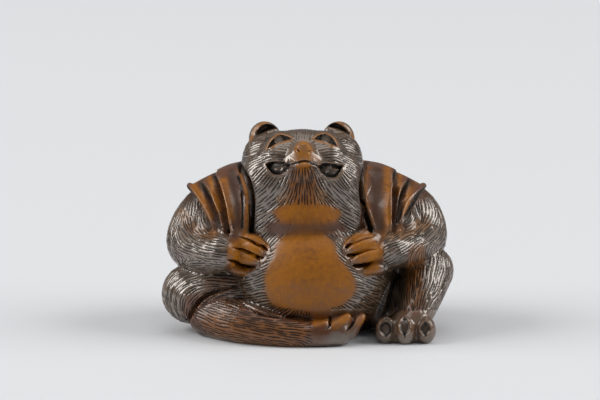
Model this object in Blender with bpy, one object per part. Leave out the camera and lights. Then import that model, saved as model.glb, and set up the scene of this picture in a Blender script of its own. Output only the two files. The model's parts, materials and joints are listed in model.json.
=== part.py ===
"""A wooden netsuke: a seated tanuki in a sleeveless jacket, drumming on its belly.

The animal sits upright with its head tipped back. One leg is folded flat in front of the
belly, the other knee is drawn up, and both forepaws lie on the belly. It is carved from one
block, with a flat seat and a bent cord channel in the back.

Frame: +Z up, the belly faces -Y, and the seat lies in the plane z = 0.
Free forms are given in carving units, which are shares of the figure's height.
"""

import math

import bmesh
import bpy
import numpy as np
from mathutils import Euler, Matrix, Vector
from mathutils.bvhtree import BVHTree

# Driving sizes, in metres
HEIGHT = 0.02985
JACKET_THICKNESS = 0.0014
COLLAR_THICKNESS = 0.0020
CORD_HOLE_WIDE = 0.0036
CORD_HOLE_NARROW = 0.0028
CORD_HOLE_SPACING = 0.0105
CORD_CHANNEL_DEPTH = 0.0060
CORD_HOLES_ABOVE_SEAT = 0.0105

# One carving unit is a millimetre on a figure of this height
UNITS_TALL = 29.85
U = HEIGHT / UNITS_TALL

# Fineness of the solid
VOXEL = 0.30 * U
SOLID_TRIANGLES = 9000
FINEST_EDGE = 0.00004

# The front drawing is laid off square to a line of sight that looks down by this angle
SIGHT_TILT = math.radians(12.0)
SIGHT = Vector((0.0, math.cos(SIGHT_TILT), -math.sin(SIGHT_TILT)))
DRAWING_UP = Vector((0.0, math.sin(SIGHT_TILT), math.cos(SIGHT_TILT)))

HEAD_MIDDLE = -0.6


def clear_scene():
    for obj in list(bpy.data.objects):
        bpy.data.objects.remove(obj)


def smooth_row(points, steps):
    """Points along one Catmull-Rom curve through the given rows of numbers."""
    rows = np.array(points, float)
    ends = np.vstack([2 * rows[0] - rows[1], rows, 2 * rows[-1] - rows[-2]])
    made = []
    for k in range(len(rows) - 1):
        before, start, end, after = ends[k : k + 4]
        for t in np.arange(steps) / steps:
            bend = (2 * before - 5 * start + 4 * end - after) * t**2
            twist = (3 * start - before - 3 * end + after) * t**3
            made.append(0.5 * (2 * start + (end - before) * t + bend + twist))
    return np.array(made + [rows[-1]])


def add_mesh(form, mesh):
    form.from_mesh(mesh)
    bpy.data.meshes.remove(mesh)


def ball(form, centre, radii, turn=(0.0, 0.0, 0.0), fineness=3):
    """An ellipsoid in carving units, turned by degrees about X, Y and Z."""
    one = bmesh.new()
    bmesh.ops.create_icosphere(one, subdivisions=fineness, radius=1.0)
    mesh = bpy.data.meshes.new("ball")
    one.to_mesh(mesh)
    one.free()
    angles = Euler([math.radians(a) for a in turn])
    mesh.transform(Matrix.LocRotScale(Vector(centre) * U, angles, Vector(radii) * U))
    add_mesh(form, mesh)


def limb(form, stations, steps=5):
    """A rounded limb through stations of (x, y, z, radius)."""
    for x, y, z, radius in smooth_row(stations, steps):
        ball(form, (x, y, z), (radius, radius, radius), fineness=2)


def fused(form, voxel, rounds):
    """One closed skin round overlapping forms, with the joins softened by rounds of smoothing."""
    mesh = bpy.data.meshes.new("forms")
    form.to_mesh(mesh)
    form.free()
    holder = bpy.data.objects.new("forms", mesh)
    bpy.context.scene.collection.objects.link(holder)
    fuse = holder.modifiers.new("fuse", "REMESH")
    fuse.mode = "VOXEL"
    fuse.voxel_size = voxel
    soften = holder.modifiers.new("soften", "SMOOTH")
    soften.factor = 0.5
    soften.iterations = rounds
    graph = bpy.context.evaluated_depsgraph_get()
    skin = bpy.data.meshes.new_from_object(holder.evaluated_get(graph))
    bpy.data.objects.remove(holder)
    return skin


def tree_of(mesh):
    form = bmesh.new()
    form.from_mesh(mesh)
    tree = BVHTree.FromBMesh(form)
    form.free()
    return tree


def on_front(tree, u, v):
    """The surface point and its normal at (u, v) of the front drawing, in carving units."""
    start = Vector((u, 0.0, 0.0)) + DRAWING_UP * v - SIGHT * 60.0
    hit, normal, _, _ = tree.ray_cast(start * U, SIGHT)
    if hit is None:
        raise ValueError(f"the front drawing misses the body at {u:.2f}, {v:.2f}")
    return hit / U, normal


def on_back(tree, x, z):
    """The surface point and its normal at (x, z), seen straight from behind."""
    hit, normal, _, _ = tree.ray_cast(Vector((x, 60.0, z)) * U, Vector((0.0, -1.0, 0.0)))
    if hit is None:
        raise ValueError(f"the back drawing misses the body at {x:.2f}, {z:.2f}")
    return hit / U, normal


def drawn_limb(form, tree, marks, steps=4):
    """A limb lying on the body, through marks of (u, v, lift, radius) on the front drawing."""
    stations = []
    for u, v, lift, radius in smooth_row(marks, steps):
        point, normal = on_front(tree, u, v)
        stations.append((*(point + normal * lift), radius))
    limb(form, stations, steps=2)


def torso_and_head():
    """The rump, belly, chest and head as one softly joined mass."""
    form = bmesh.new()
    ball(form, (0.0, 3.0, 11.0), (13.0, 10.5, 12.0))
    ball(form, (0.4, 2.5, 4.5), (14.5, 10.5, 6.5))
    ball(form, (0.9, -2.7, 8.5), (11.8, 10.5, 9.8))
    limb(form, [(0.0, -1.7, 12.0, 8.9), (-0.4, -1.4, 17.0, 8.8), (-0.5, -0.8, 20.5, 8.6)])
    for side in (-1, 1):
        limb(form, [(side * 4.6, -3.4, 13.0, 5.4), (side * 4.6, -3.0, 20.0, 5.3)])
    ball(form, (0.0, 3.5, 18.0), (12.5, 5.5, 5.0))
    middle = HEAD_MIDDLE
    ball(form, (middle, -0.8, 21.6), (8.9, 8.6, 7.4))
    ball(form, (middle, -2.8, 25.5), (6.4, 5.0, 4.0))
    for side in (-1, 1):
        ball(form, (middle + side * 4.8, -4.2, 22.0), (4.2, 4.5, 4.8))
        ball(form, (middle + side * 5.4, -0.8, 24.2), (3.4, 4.6, 4.4))
        ball(form, (middle + side * 3.3, -4.3, 25.3), (3.3, 3.5, 3.5))
    return fused(form, VOXEL, 12)


def muzzle(form):
    middle = HEAD_MIDDLE
    limb(
        form,
        [
            (middle, -4.6, 25.3, 3.4),
            (middle, -6.9, 25.9, 2.5),
            (middle + 0.1, -8.3, 26.4, 1.8),
        ],
    )
    ball(form, (middle + 0.1, -8.9, 27.8), (1.1, 1.2, 0.95), turn=(-20, 0, 0))
    for side in (-1, 1):
        ball(form, (middle + 0.1 + side * 1.4, -8.2, 26.0), (1.3, 1.3, 1.2))
    ball(form, (middle + 0.1, -7.8, 24.2), (2.8, 1.7, 1.8))


def ears(form):
    for side, middle in ((-1, -5.9), (1, 4.5)):
        ball(form, (middle, 0.6, 27.2), (2.5, 1.2, 2.8), turn=(-14, side * 20, side * 12))


def arms(form):
    limb(
        form,
        [
            (-11.6, 2.5, 17.6, 4.2),
            (-14.6, 1.4, 15.6, 4.2),
            (-16.1, -0.6, 12.6, 4.1),
            (-14.2, -5.2, 12.1, 3.3),
            (-12.0, -8.4, 12.7, 2.7),
        ],
    )
    limb(
        form,
        [
            (11.8, 2.5, 17.6, 4.2),
            (15.0, 1.2, 16.0, 4.3),
            (16.2, -0.8, 13.2, 4.0),
            (14.6, -5.4, 12.8, 3.0),
            (12.2, -8.6, 13.0, 2.5),
        ],
    )
    for side in (-1, 1):
        limb(form, [(side * 12.6, -2.4, 15.9, 3.6), (side * 13.6, -3.6, 13.8, 3.5)])


def folded_leg(form):
    """The leg that lies across the front: haunch, knee at the side, shin along the table."""
    limb(
        form,
        [
            (-8.0, 2.0, 5.8, 5.0),
            (-12.4, 0.5, 6.2, 4.6),
            (-16.4, -2.6, 5.0, 4.7),
        ],
    )
    limb(form, [(-8.5, -4.0, 6.4, 3.2), (-12.6, -4.6, 6.3, 3.8), (-15.8, -4.0, 4.9, 4.2)])
    limb(
        form,
        [
            (-13.6, -5.4, 2.9, 3.4),
            (-9.6, -9.0, 2.6, 3.2),
            (-5.6, -11.2, 2.2, 2.6),
            (-2.0, -12.2, 1.7, 2.1),
            (1.5, -12.4, 1.7, 1.9),
            (4.6, -12.0, 1.9, 2.0),
        ],
    )
    toes = (
        ((1.2, -13.0, 2.4, 1.2), (3.0, -12.9, 3.4, 0.55)),
        ((3.9, -12.6, 2.3, 1.6), (5.8, -12.3, 4.1, 0.6)),
        ((5.9, -11.8, 2.1, 1.5), (7.9, -11.2, 3.9, 0.55)),
    )
    for toe in toes:
        limb(form, toe, steps=6)


def raised_leg(form):
    """The leg with its knee drawn up and its foot flat on the table."""
    limb(form, [(9.5, 4.5, 5.5, 5.5), (14.2, 1.4, 7.6, 4.7), (17.4, -2.6, 8.8, 3.8)])
    ball(form, (11.5, -3.5, 4.5), (3.6, 4.5, 4.5))
    limb(
        form,
        [
            (17.4, -2.8, 8.8, 3.8),
            (16.5, -6.0, 6.0, 3.1),
            (15.4, -8.4, 3.3, 2.5),
            (14.2, -9.4, 2.2, 2.4),
        ],
    )
    ball(form, (14.0, -8.2, 1.0), (4.1, 3.2, 2.2))
    for x, y, radius in ((11.3, -10.4, 1.55), (14.1, -11.0, 1.6), (17.0, -10.4, 1.5)):
        ball(form, (x, y, 1.8), (1.5, 1.7, 2.0))


# Palms and fingers as marks of (u, v, lift, radius) on the front drawing
PAW_LEFT = (
    ((-12.2, 11.0, 0.0, 2.4), (-10.2, 11.2, 0.2, 2.4), (-9.0, 10.9, -0.1, 2.0)),
    ((-10.8, 12.4, 0.5, 1.3), (-8.7, 12.6, 0.7, 1.3), (-7.0, 12.3, 0.5, 0.95), (-5.8, 11.7, 0.1, 0.45)),
    ((-10.9, 11.6, 0.9, 1.4), (-8.9, 11.5, 1.1, 1.4), (-7.4, 11.0, 0.8, 1.0), (-6.3, 10.4, 0.2, 0.45)),
    ((-11.2, 10.3, 0.9, 1.4), (-9.4, 10.0, 1.1, 1.35), (-8.0, 9.6, 0.8, 0.95), (-7.1, 9.2, 0.2, 0.45)),
    ((-11.6, 9.4, 0.5, 1.3), (-10.6, 8.9, 0.8, 1.25), (-9.6, 8.4, 0.6, 0.9), (-8.8, 7.9, 0.1, 0.45)),
)
PAW_RIGHT = (
    ((12.4, 11.0, 0.0, 2.4), (10.4, 11.2, 0.2, 2.4), (9.0, 10.9, -0.1, 2.0)),
    ((10.8, 12.4, 0.5, 1.3), (8.7, 12.7, 0.7, 1.3), (7.1, 12.5, 0.5, 0.95), (5.8, 12.0, 0.1, 0.45)),
    ((10.9, 11.6, 0.9, 1.4), (8.9, 11.6, 1.1, 1.4), (7.3, 11.2, 0.8, 1.0), (6.0, 10.8, 0.2, 0.45)),
    ((11.0, 10.3, 0.9, 1.4), (9.4, 10.1, 1.1, 1.35), (8.0, 9.8, 0.8, 0.95), (6.8, 9.5, 0.2, 0.45)),
    ((11.2, 9.2, 0.5, 1.3), (10.2, 8.8, 0.8, 1.25), (9.2, 8.4, 0.6, 0.95), (8.4, 8.0, 0.1, 0.5)),
)


def paws(form, body_tree):
    for paw in (PAW_LEFT, PAW_RIGHT):
        for part in paw:
            drawn_limb(form, body_tree, part)


# The jacket's left half, front hem to back hem: inner edge, middle and armhole edge
JACKET_LEFT = (
    ((-8.3, -8.7, 14.2), (-10.4, -8.6, 14.2), (-12.4, -7.4, 14.4)),
    ((-8.2, -7.4, 18.6), (-11.3, -7.2, 18.2), (-14.0, -5.6, 17.4)),
    ((-8.7, -4.8, 21.6), (-12.4, -4.3, 20.7), (-15.6, -3.0, 19.6)),
    ((-9.8, -1.0, 23.3), (-13.4, -0.2, 22.2), (-16.8, 0.8, 20.4)),
    ((-9.0, 3.5, 23.4), (-13.2, 4.4, 21.6), (-16.6, 4.2, 19.6)),
    ((-5.0, 7.6, 22.8), (-11.5, 8.2, 20.5), (-16.0, 6.6, 17.2)),
    ((0.0, 9.2, 21.6), (-9.6, 10.2, 18.0), (-15.4, 8.2, 14.4)),
    ((0.0, 11.6, 17.8), (-9.2, 11.6, 14.5), (-15.0, 9.0, 11.4)),
    ((0.0, 13.2, 13.0), (-9.0, 12.6, 10.5), (-14.7, 9.4, 8.4)),
    ((0.0, 13.8, 8.0), (-9.0, 12.9, 6.5), (-14.4, 9.5, 5.4)),
    ((0.0, 13.4, 2.6), (-9.0, 12.4, 2.4), (-14.1, 9.3, 2.4)),
)
# The collar band's left half, front end to the back of the neck: inner, middle and outer edge
COLLAR_LEFT = (
    ((-8.3, -8.9, 14.2), (-9.5, -9.0, 14.2), (-10.8, -8.7, 14.2)),
    ((-8.2, -7.7, 18.6), (-9.8, -7.7, 18.5), (-11.4, -7.1, 18.3)),
    ((-8.7, -5.0, 21.7), (-10.4, -5.0, 21.5), (-12.2, -4.4, 21.0)),
    ((-9.8, -1.0, 23.5), (-11.4, -0.8, 23.2), (-13.0, -0.4, 22.6)),
    ((-9.0, 3.5, 23.6), (-10.6, 4.0, 23.2), (-12.0, 4.6, 22.4)),
    ((-5.0, 7.5, 23.0), (-6.0, 8.7, 22.4), (-6.8, 9.6, 21.4)),
    ((0.0, 8.9, 22.6), (0.0, 10.2, 21.8), (0.0, 11.1, 20.6)),
)


def cloth_half(form, rows, side, thickness):
    """Half of a garment piece: a sheet lofted through its rows, then given its thickness."""
    along = smooth_row([np.ravel(row) for row in rows], 6).reshape(-1, 3, 3)
    across = 13
    sheet = bmesh.new()
    grid = []
    for row in along:
        grid.append([sheet.verts.new(Vector(p) * U) for p in smooth_row(row, (across - 1) // 2)])
    for k in range(len(grid) - 1):
        for j in range(across - 1):
            sheet.faces.new((grid[k][j], grid[k][j + 1], grid[k + 1][j + 1], grid[k + 1][j]))
    if side > 0:
        bmesh.ops.scale(sheet, vec=(-1, 1, 1), verts=sheet.verts)
    bmesh.ops.recalc_face_normals(sheet, faces=sheet.faces)
    middle = Vector((0, 0, 12 * U))
    outward = sum(f.normal.dot(f.calc_center_median() - middle) for f in sheet.faces)
    if outward < 0:
        bmesh.ops.reverse_faces(sheet, faces=sheet.faces)
    bmesh.ops.solidify(sheet, geom=sheet.faces, thickness=thickness)
    piece = bpy.data.meshes.new("cloth")
    sheet.to_mesh(piece)
    sheet.free()
    add_mesh(form, piece)


def jacket(form):
    for side in (-1, 1):
        cloth_half(form, JACKET_LEFT, side, JACKET_THICKNESS)
        cloth_half(form, COLLAR_LEFT, side, COLLAR_THICKNESS)
        hem = [(-side * x, y, z, 0.5) for x, y, z in (row[2] for row in JACKET_LEFT)]
        limb(form, hem, steps=8)


def shoulders(form):
    """The filled shoulders and back that the jacket is stretched over."""
    for side in (-1, 1):
        limb(
            form,
            [
                (side * 6.0, 3.0, 19.6, 3.4),
                (side * 11.0, 2.8, 18.8, 3.0),
                (side * 14.6, 2.4, 17.6, 2.6),
            ],
        )
        limb(
            form,
            [
                (side * 9.4, -4.4, 18.6, 2.6),
                (side * 10.6, -6.2, 15.6, 2.2),
                (side * 10.4, -6.6, 13.4, 2.2),
            ],
        )
        limb(form, [(side * 7.0, 7.0, 17.5, 4.0), (side * 8.5, 8.0, 6.0, 4.6)])
        limb(form, [(side * 12.0, 6.2, 14.5, 3.6), (side * 12.0, 6.6, 8.0, 3.8), (side * 11.4, 6.6, 2.6, 3.6)])
    limb(form, [(0.0, 7.6, 18.0, 3.4), (0.0, 9.6, 8.0, 4.0), (0.0, 9.4, 3.0, 3.8)])


def forms():
    """The whole figure as one closed skin, before the cuts."""
    body = torso_and_head()
    body_tree = tree_of(body)
    form = bmesh.new()
    add_mesh(form, body)
    muzzle(form)
    ears(form)
    shoulders(form)
    arms(form)
    folded_leg(form)
    raised_leg(form)
    paws(form, body_tree)
    jacket(form)
    return fused(form, VOXEL, 2)


# Cuts as marks of (u, v, half width, depth); the last number of a cut is the share of its
# half width that its side walls take, so 1 is a V and a small share is a flat-bottomed pocket
FINGER_CUTS = (
    (((-9.8, 13.1, 0.1, 0.1), (-8.2, 12.4, 0.4, 0.8), (-7.0, 11.9, 0.45, 0.8), (-6.0, 11.5, 0.3, 0.4)), 1.0),
    (((-10.6, 11.6, 0.1, 0.1), (-8.9, 10.9, 0.4, 0.8), (-7.6, 10.4, 0.45, 0.8), (-6.5, 10.1, 0.3, 0.4)), 1.0),
    (((-11.7, 9.8, 0.1, 0.1), (-10.3, 9.3, 0.45, 0.8), (-8.8, 8.9, 0.5, 0.8), (-7.4, 8.7, 0.3, 0.3)), 1.0),
    (((9.6, 13.0, 0.1, 0.1), (8.2, 12.7, 0.4, 0.8), (6.8, 12.1, 0.45, 0.8), (5.7, 11.6, 0.3, 0.4)), 1.0),
    (((10.2, 11.3, 0.1, 0.1), (8.6, 11.0, 0.4, 0.8), (7.1, 10.6, 0.45, 0.8), (5.9, 10.3, 0.3, 0.4)), 1.0),
    (((10.4, 9.7, 0.1, 0.1), (9.1, 9.3, 0.4, 0.8), (7.8, 9.0, 0.45, 0.8), (6.7, 8.9, 0.3, 0.4)), 1.0),
)
FACE_CUTS = (
    (((-5.2, 22.9, 0.6, 1.0), (-4.5, 22.7, 1.0, 1.1), (-3.4, 22.8, 0.85, 1.1), (-2.4, 23.1, 0.35, 0.5)), 0.3),
    (((1.7, 22.9, 0.35, 0.5), (2.8, 22.5, 0.9, 1.1), (4.0, 22.4, 1.05, 1.1), (4.6, 22.5, 0.7, 1.0)), 0.3),
    (((-2.4, 23.2, 0.3, 0.4), (-0.5, 23.75, 0.3, 0.5), (1.7, 22.9, 0.3, 0.4)), 1.0),
    (((-5.5, 25.5, 0.2, 0.4), (-4.6, 26.4, 0.7, 0.7), (-3.6, 27.0, 0.75, 0.7), (-2.2, 26.9, 0.3, 0.3)), 0.7),
    (((1.0, 26.9, 0.3, 0.3), (2.2, 27.1, 0.75, 0.7), (3.2, 26.7, 0.7, 0.7), (4.2, 25.8, 0.2, 0.4)), 0.7),
    (((-7.3, 27.4, 0.3, 0.4), (-6.0, 28.4, 0.9, 1.1), (-4.8, 28.6, 0.4, 0.5)), 0.8),
    (((3.2, 28.7, 0.3, 0.4), (4.4, 28.7, 0.9, 1.1), (5.7, 28.0, 0.4, 0.5)), 0.8),
)
JACKET_CUTS = (
    (((-13.0, 21.6, 0.2, 0.3), (-12.2, 18.9, 0.5, 0.7), (-11.1, 13.9, 0.4, 0.6)), 1.0),
    (((-15.0, 20.6, 0.2, 0.2), (-13.7, 17.8, 0.6, 0.8), (-12.3, 14.4, 0.3, 0.3)), 1.0),
    (((12.4, 21.9, 0.2, 0.3), (12.3, 18.9, 0.5, 0.7), (12.2, 14.0, 0.4, 0.6)), 1.0),
    (((14.7, 20.9, 0.2, 0.2), (13.7, 18.2, 0.6, 0.8), (12.9, 14.6, 0.3, 0.3)), 1.0),
)
LEG_CUTS = (
    (((-9.6, 5.9, 0.3, 0.3), (-13.2, 5.0, 0.5, 0.8), (-15.4, 3.6, 0.5, 0.9), (-17.0, 0.9, 0.4, 0.6)), 1.0),
    (((-9.6, 3.9, 0.3, 0.3), (-6.0, 1.9, 0.5, 0.7), (0.5, 1.3, 0.4, 0.5)), 1.0),
    (((3.3, 1.4, 0.3, 0.3), (3.3, 0.6, 0.4, 0.7), (2.9, -0.2, 0.1, 0.1)), 1.0),
    (((6.8, 1.6, 0.3, 0.4), (6.5, 0.6, 0.4, 0.8), (5.6, -0.9, 0.1, 0.1)), 1.0),
)
TOE_CUTS = (
    (((11.8, 1.3, 0.1, 0.1), (11.5, 0.2, 0.9, 0.8), (11.4, -1.4, 0.2, 0.2)), 0.6),
    (((14.3, 1.6, 0.1, 0.1), (14.0, 0.2, 0.8, 0.8), (13.9, -1.4, 0.2, 0.2)), 0.6),
    (((16.9, 1.1, 0.1, 0.1), (17.0, 0.0, 0.8, 0.8), (17.0, -1.3, 0.2, 0.2)), 0.6),
)
# Folds of the jacket's back, as marks of (x, z, half width, depth) seen from behind
BACK_CUTS = (
    (((-5.5, 19.5, 0.2, 0.1), (-8.0, 13.0, 1.0, 0.6), (-8.4, 5.0, 0.4, 0.2)), 1.0),
    (((5.5, 19.5, 0.2, 0.1), (8.0, 13.0, 1.0, 0.6), (8.4, 5.0, 0.4, 0.2)), 1.0),
    (((-11.0, 18.0, 0.2, 0.1), (-12.0, 12.0, 0.9, 0.5), (-11.4, 6.0, 0.3, 0.2)), 1.0),
    (((11.0, 18.0, 0.2, 0.1), (12.0, 12.0, 0.9, 0.5), (11.4, 6.0, 0.3, 0.2)), 1.0),
    (((-2.2, 8.0, 0.2, 0.1), (-3.0, 5.2, 0.8, 0.5), (-2.6, 3.0, 0.6, 0.3)), 1.0),
    (((3.0, 8.4, 0.2, 0.1), (3.6, 5.4, 0.8, 0.5), (3.0, 3.0, 0.6, 0.3)), 1.0),
)


def laid(tree, place, marks):
    """A cut's path on the skin: rows of point, normal, half width and depth."""
    path = []
    for across, up, half_width, depth in smooth_row(marks, 14):
        point, normal = place(tree, across, up)
        path.append((*point, *normal, half_width, depth))
    return np.array(path)


def cut(points, path, wall):
    """Push the skin in along a path, deepest in the middle of the cut."""
    reach = path[:, 6].max()
    low = path[:, :3].min(axis=0) - reach
    high = path[:, :3].max(axis=0) + reach
    near = np.flatnonzero(np.all((points > low) & (points < high), axis=1))
    gap = np.linalg.norm(points[near][:, None, :] - path[None, :, :3], axis=2)
    share = gap / np.maximum(path[:, 6], 0.05)
    nearest = share.argmin(axis=1)
    row = path[nearest]
    fall = np.clip((1 - share[np.arange(len(near)), nearest]) / wall, 0, 1)
    points[near] -= row[:, 3:6] * (row[:, 7] * fall)[:, None]


def carve(skin):
    """Cut the fingers, face, folds and toes into the skin."""
    tree = tree_of(skin)
    points = np.empty(len(skin.vertices) * 3)
    skin.vertices.foreach_get("co", points)
    points = points.reshape(-1, 3) / U
    for group in (FINGER_CUTS, FACE_CUTS, JACKET_CUTS, LEG_CUTS, TOE_CUTS):
        for marks, wall in group:
            cut(points, laid(tree, on_front, marks), wall)
    for marks, wall in BACK_CUTS:
        cut(points, laid(tree, on_back, marks), wall)
    skin.vertices.foreach_set("co", (points * U).ravel())
    skin.update()


def thinned(mesh, triangles):
    """The same skin in fewer triangles, finer where it bends."""
    holder = bpy.data.objects.new("skin", mesh)
    bpy.context.scene.collection.objects.link(holder)
    thin = holder.modifiers.new("thin", "DECIMATE")
    thin.ratio = triangles / (2 * len(mesh.polygons))
    thin.use_collapse_triangulate = True
    graph = bpy.context.evaluated_depsgraph_get()
    made = bpy.data.meshes.new_from_object(holder.evaluated_get(graph))
    bpy.data.objects.remove(holder)
    return made


def cutter(name, form):
    """A closed cutting form, kept out of the render."""
    bmesh.ops.recalc_face_normals(form, faces=form.faces)
    mesh = bpy.data.meshes.new(name)
    form.to_mesh(mesh)
    form.free()
    made = bpy.data.objects.new(name, mesh)
    bpy.context.scene.collection.objects.link(made)
    made.hide_render = True
    made.display_type = "WIRE"
    return made


def below_seat():
    """Everything under the table's plane."""
    form = bmesh.new()
    bmesh.ops.create_cube(form, size=2 * HEIGHT)
    bmesh.ops.translate(form, verts=form.verts, vec=(0, 0, -HEIGHT))
    return cutter("below_seat", form)


def cord_channel(tree):
    """A bent bore from one cord hole in the back to the other, narrowing on its way."""
    height = CORD_HOLES_ABOVE_SEAT / U
    half = CORD_HOLE_SPACING / 2
    back = min(on_back(tree, side * half / U, height)[0].y for side in (-1, 1)) * U
    sides = 20
    form = bmesh.new()
    rings = []
    for share in np.linspace(-0.28, 1.28, 24):
        angle = math.pi * share
        centre = Vector((-half * math.cos(angle), 0, 0)) + Vector(
            (0, back - CORD_CHANNEL_DEPTH * math.sin(angle), height * U)
        )
        forward = Vector((half * math.sin(angle), -CORD_CHANNEL_DEPTH * math.cos(angle), 0))
        across = forward.normalized().cross(Vector((0, 0, 1)))
        mix = min(max(share, 0), 1)
        radius = (CORD_HOLE_WIDE * (1 - mix) + CORD_HOLE_NARROW * mix) / 2
        ring = []
        for turn in np.arange(sides) * 2 * math.pi / sides:
            reach = across * math.cos(turn) + Vector((0, 0, 1)) * math.sin(turn)
            ring.append(form.verts.new(centre + reach * radius))
        rings.append(ring)
    for ring, after in zip(rings, rings[1:]):
        for k in range(sides):
            form.faces.new((ring[k - 1], ring[k], after[k], after[k - 1]))
    form.faces.new(rings[0])
    form.faces.new(rings[-1])
    return cutter("cord_channel", form)


def difference(target, tool):
    bpy.context.view_layer.objects.active = target
    step = target.modifiers.new(tool.name, "BOOLEAN")
    step.operation = "DIFFERENCE"
    step.solver = "EXACT"
    step.object = tool
    bpy.ops.object.modifier_apply(modifier=step.name)


def thin_edges(form):
    """The longest edges of triangles that are thinner than the finest edge allows."""
    found = set()
    for face in form.faces:
        longest = max(face.edges, key=lambda e: e.calc_length())
        beside = set(longest.link_faces) - {face}
        if 2 * face.calc_area() < longest.calc_length() * FINEST_EDGE / 4:
            if not any(e in found for f in beside for e in f.edges):
                found.add(longest)
    return list(found)


def tidied(mesh):
    """Leave one closed skin of triangles with no slivers."""
    form = bmesh.new()
    form.from_mesh(mesh)
    bmesh.ops.triangulate(form, faces=form.faces)
    bmesh.ops.remove_doubles(form, verts=form.verts, dist=FINEST_EDGE)
    for _ in range(3):
        bmesh.ops.dissolve_degenerate(form, edges=form.edges, dist=FINEST_EDGE / 2)
        bmesh.ops.triangulate(form, faces=[f for f in form.faces if len(f.verts) > 3])
        bmesh.ops.rotate_edges(form, edges=thin_edges(form), use_ccw=False)
    bmesh.ops.recalc_face_normals(form, faces=form.faces)
    form.to_mesh(mesh)
    form.free()


def stained_boxwood():
    wood = bpy.data.materials.new("stained_boxwood")
    wood.use_nodes = True
    shader = wood.node_tree.nodes["Principled BSDF"]
    shader.inputs["Base Color"].default_value = (0.105, 0.047, 0.018, 1.0)
    shader.inputs["Roughness"].default_value = 0.3
    return wood


def main():
    clear_scene()
    skin = forms()
    carve(skin)
    skin = thinned(skin, SOLID_TRIANGLES)
    skin.name = "tanuki_netsuke"
    netsuke = bpy.data.objects.new("tanuki_netsuke", skin)
    bpy.context.scene.collection.objects.link(netsuke)
    difference(netsuke, below_seat())
    difference(netsuke, cord_channel(tree_of(skin)))
    tidied(netsuke.data)
    netsuke.data.materials.clear()
    netsuke.data.materials.append(stained_boxwood())


main()
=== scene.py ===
# %% [markdown]
# # A carved netsuke: a seated tanuki drumming on its belly
# The real object is a toggle about 42 mm wide, cut from one block of boxwood, stained dark,
# and polished by handling until the raised places turned orange brown. There is one piece to
# make. It is built the way a carver works: the masses first, then the deep cuts, then the
# hair lines, and at last the stain and the wear.

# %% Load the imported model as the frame
import json
import math

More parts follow.
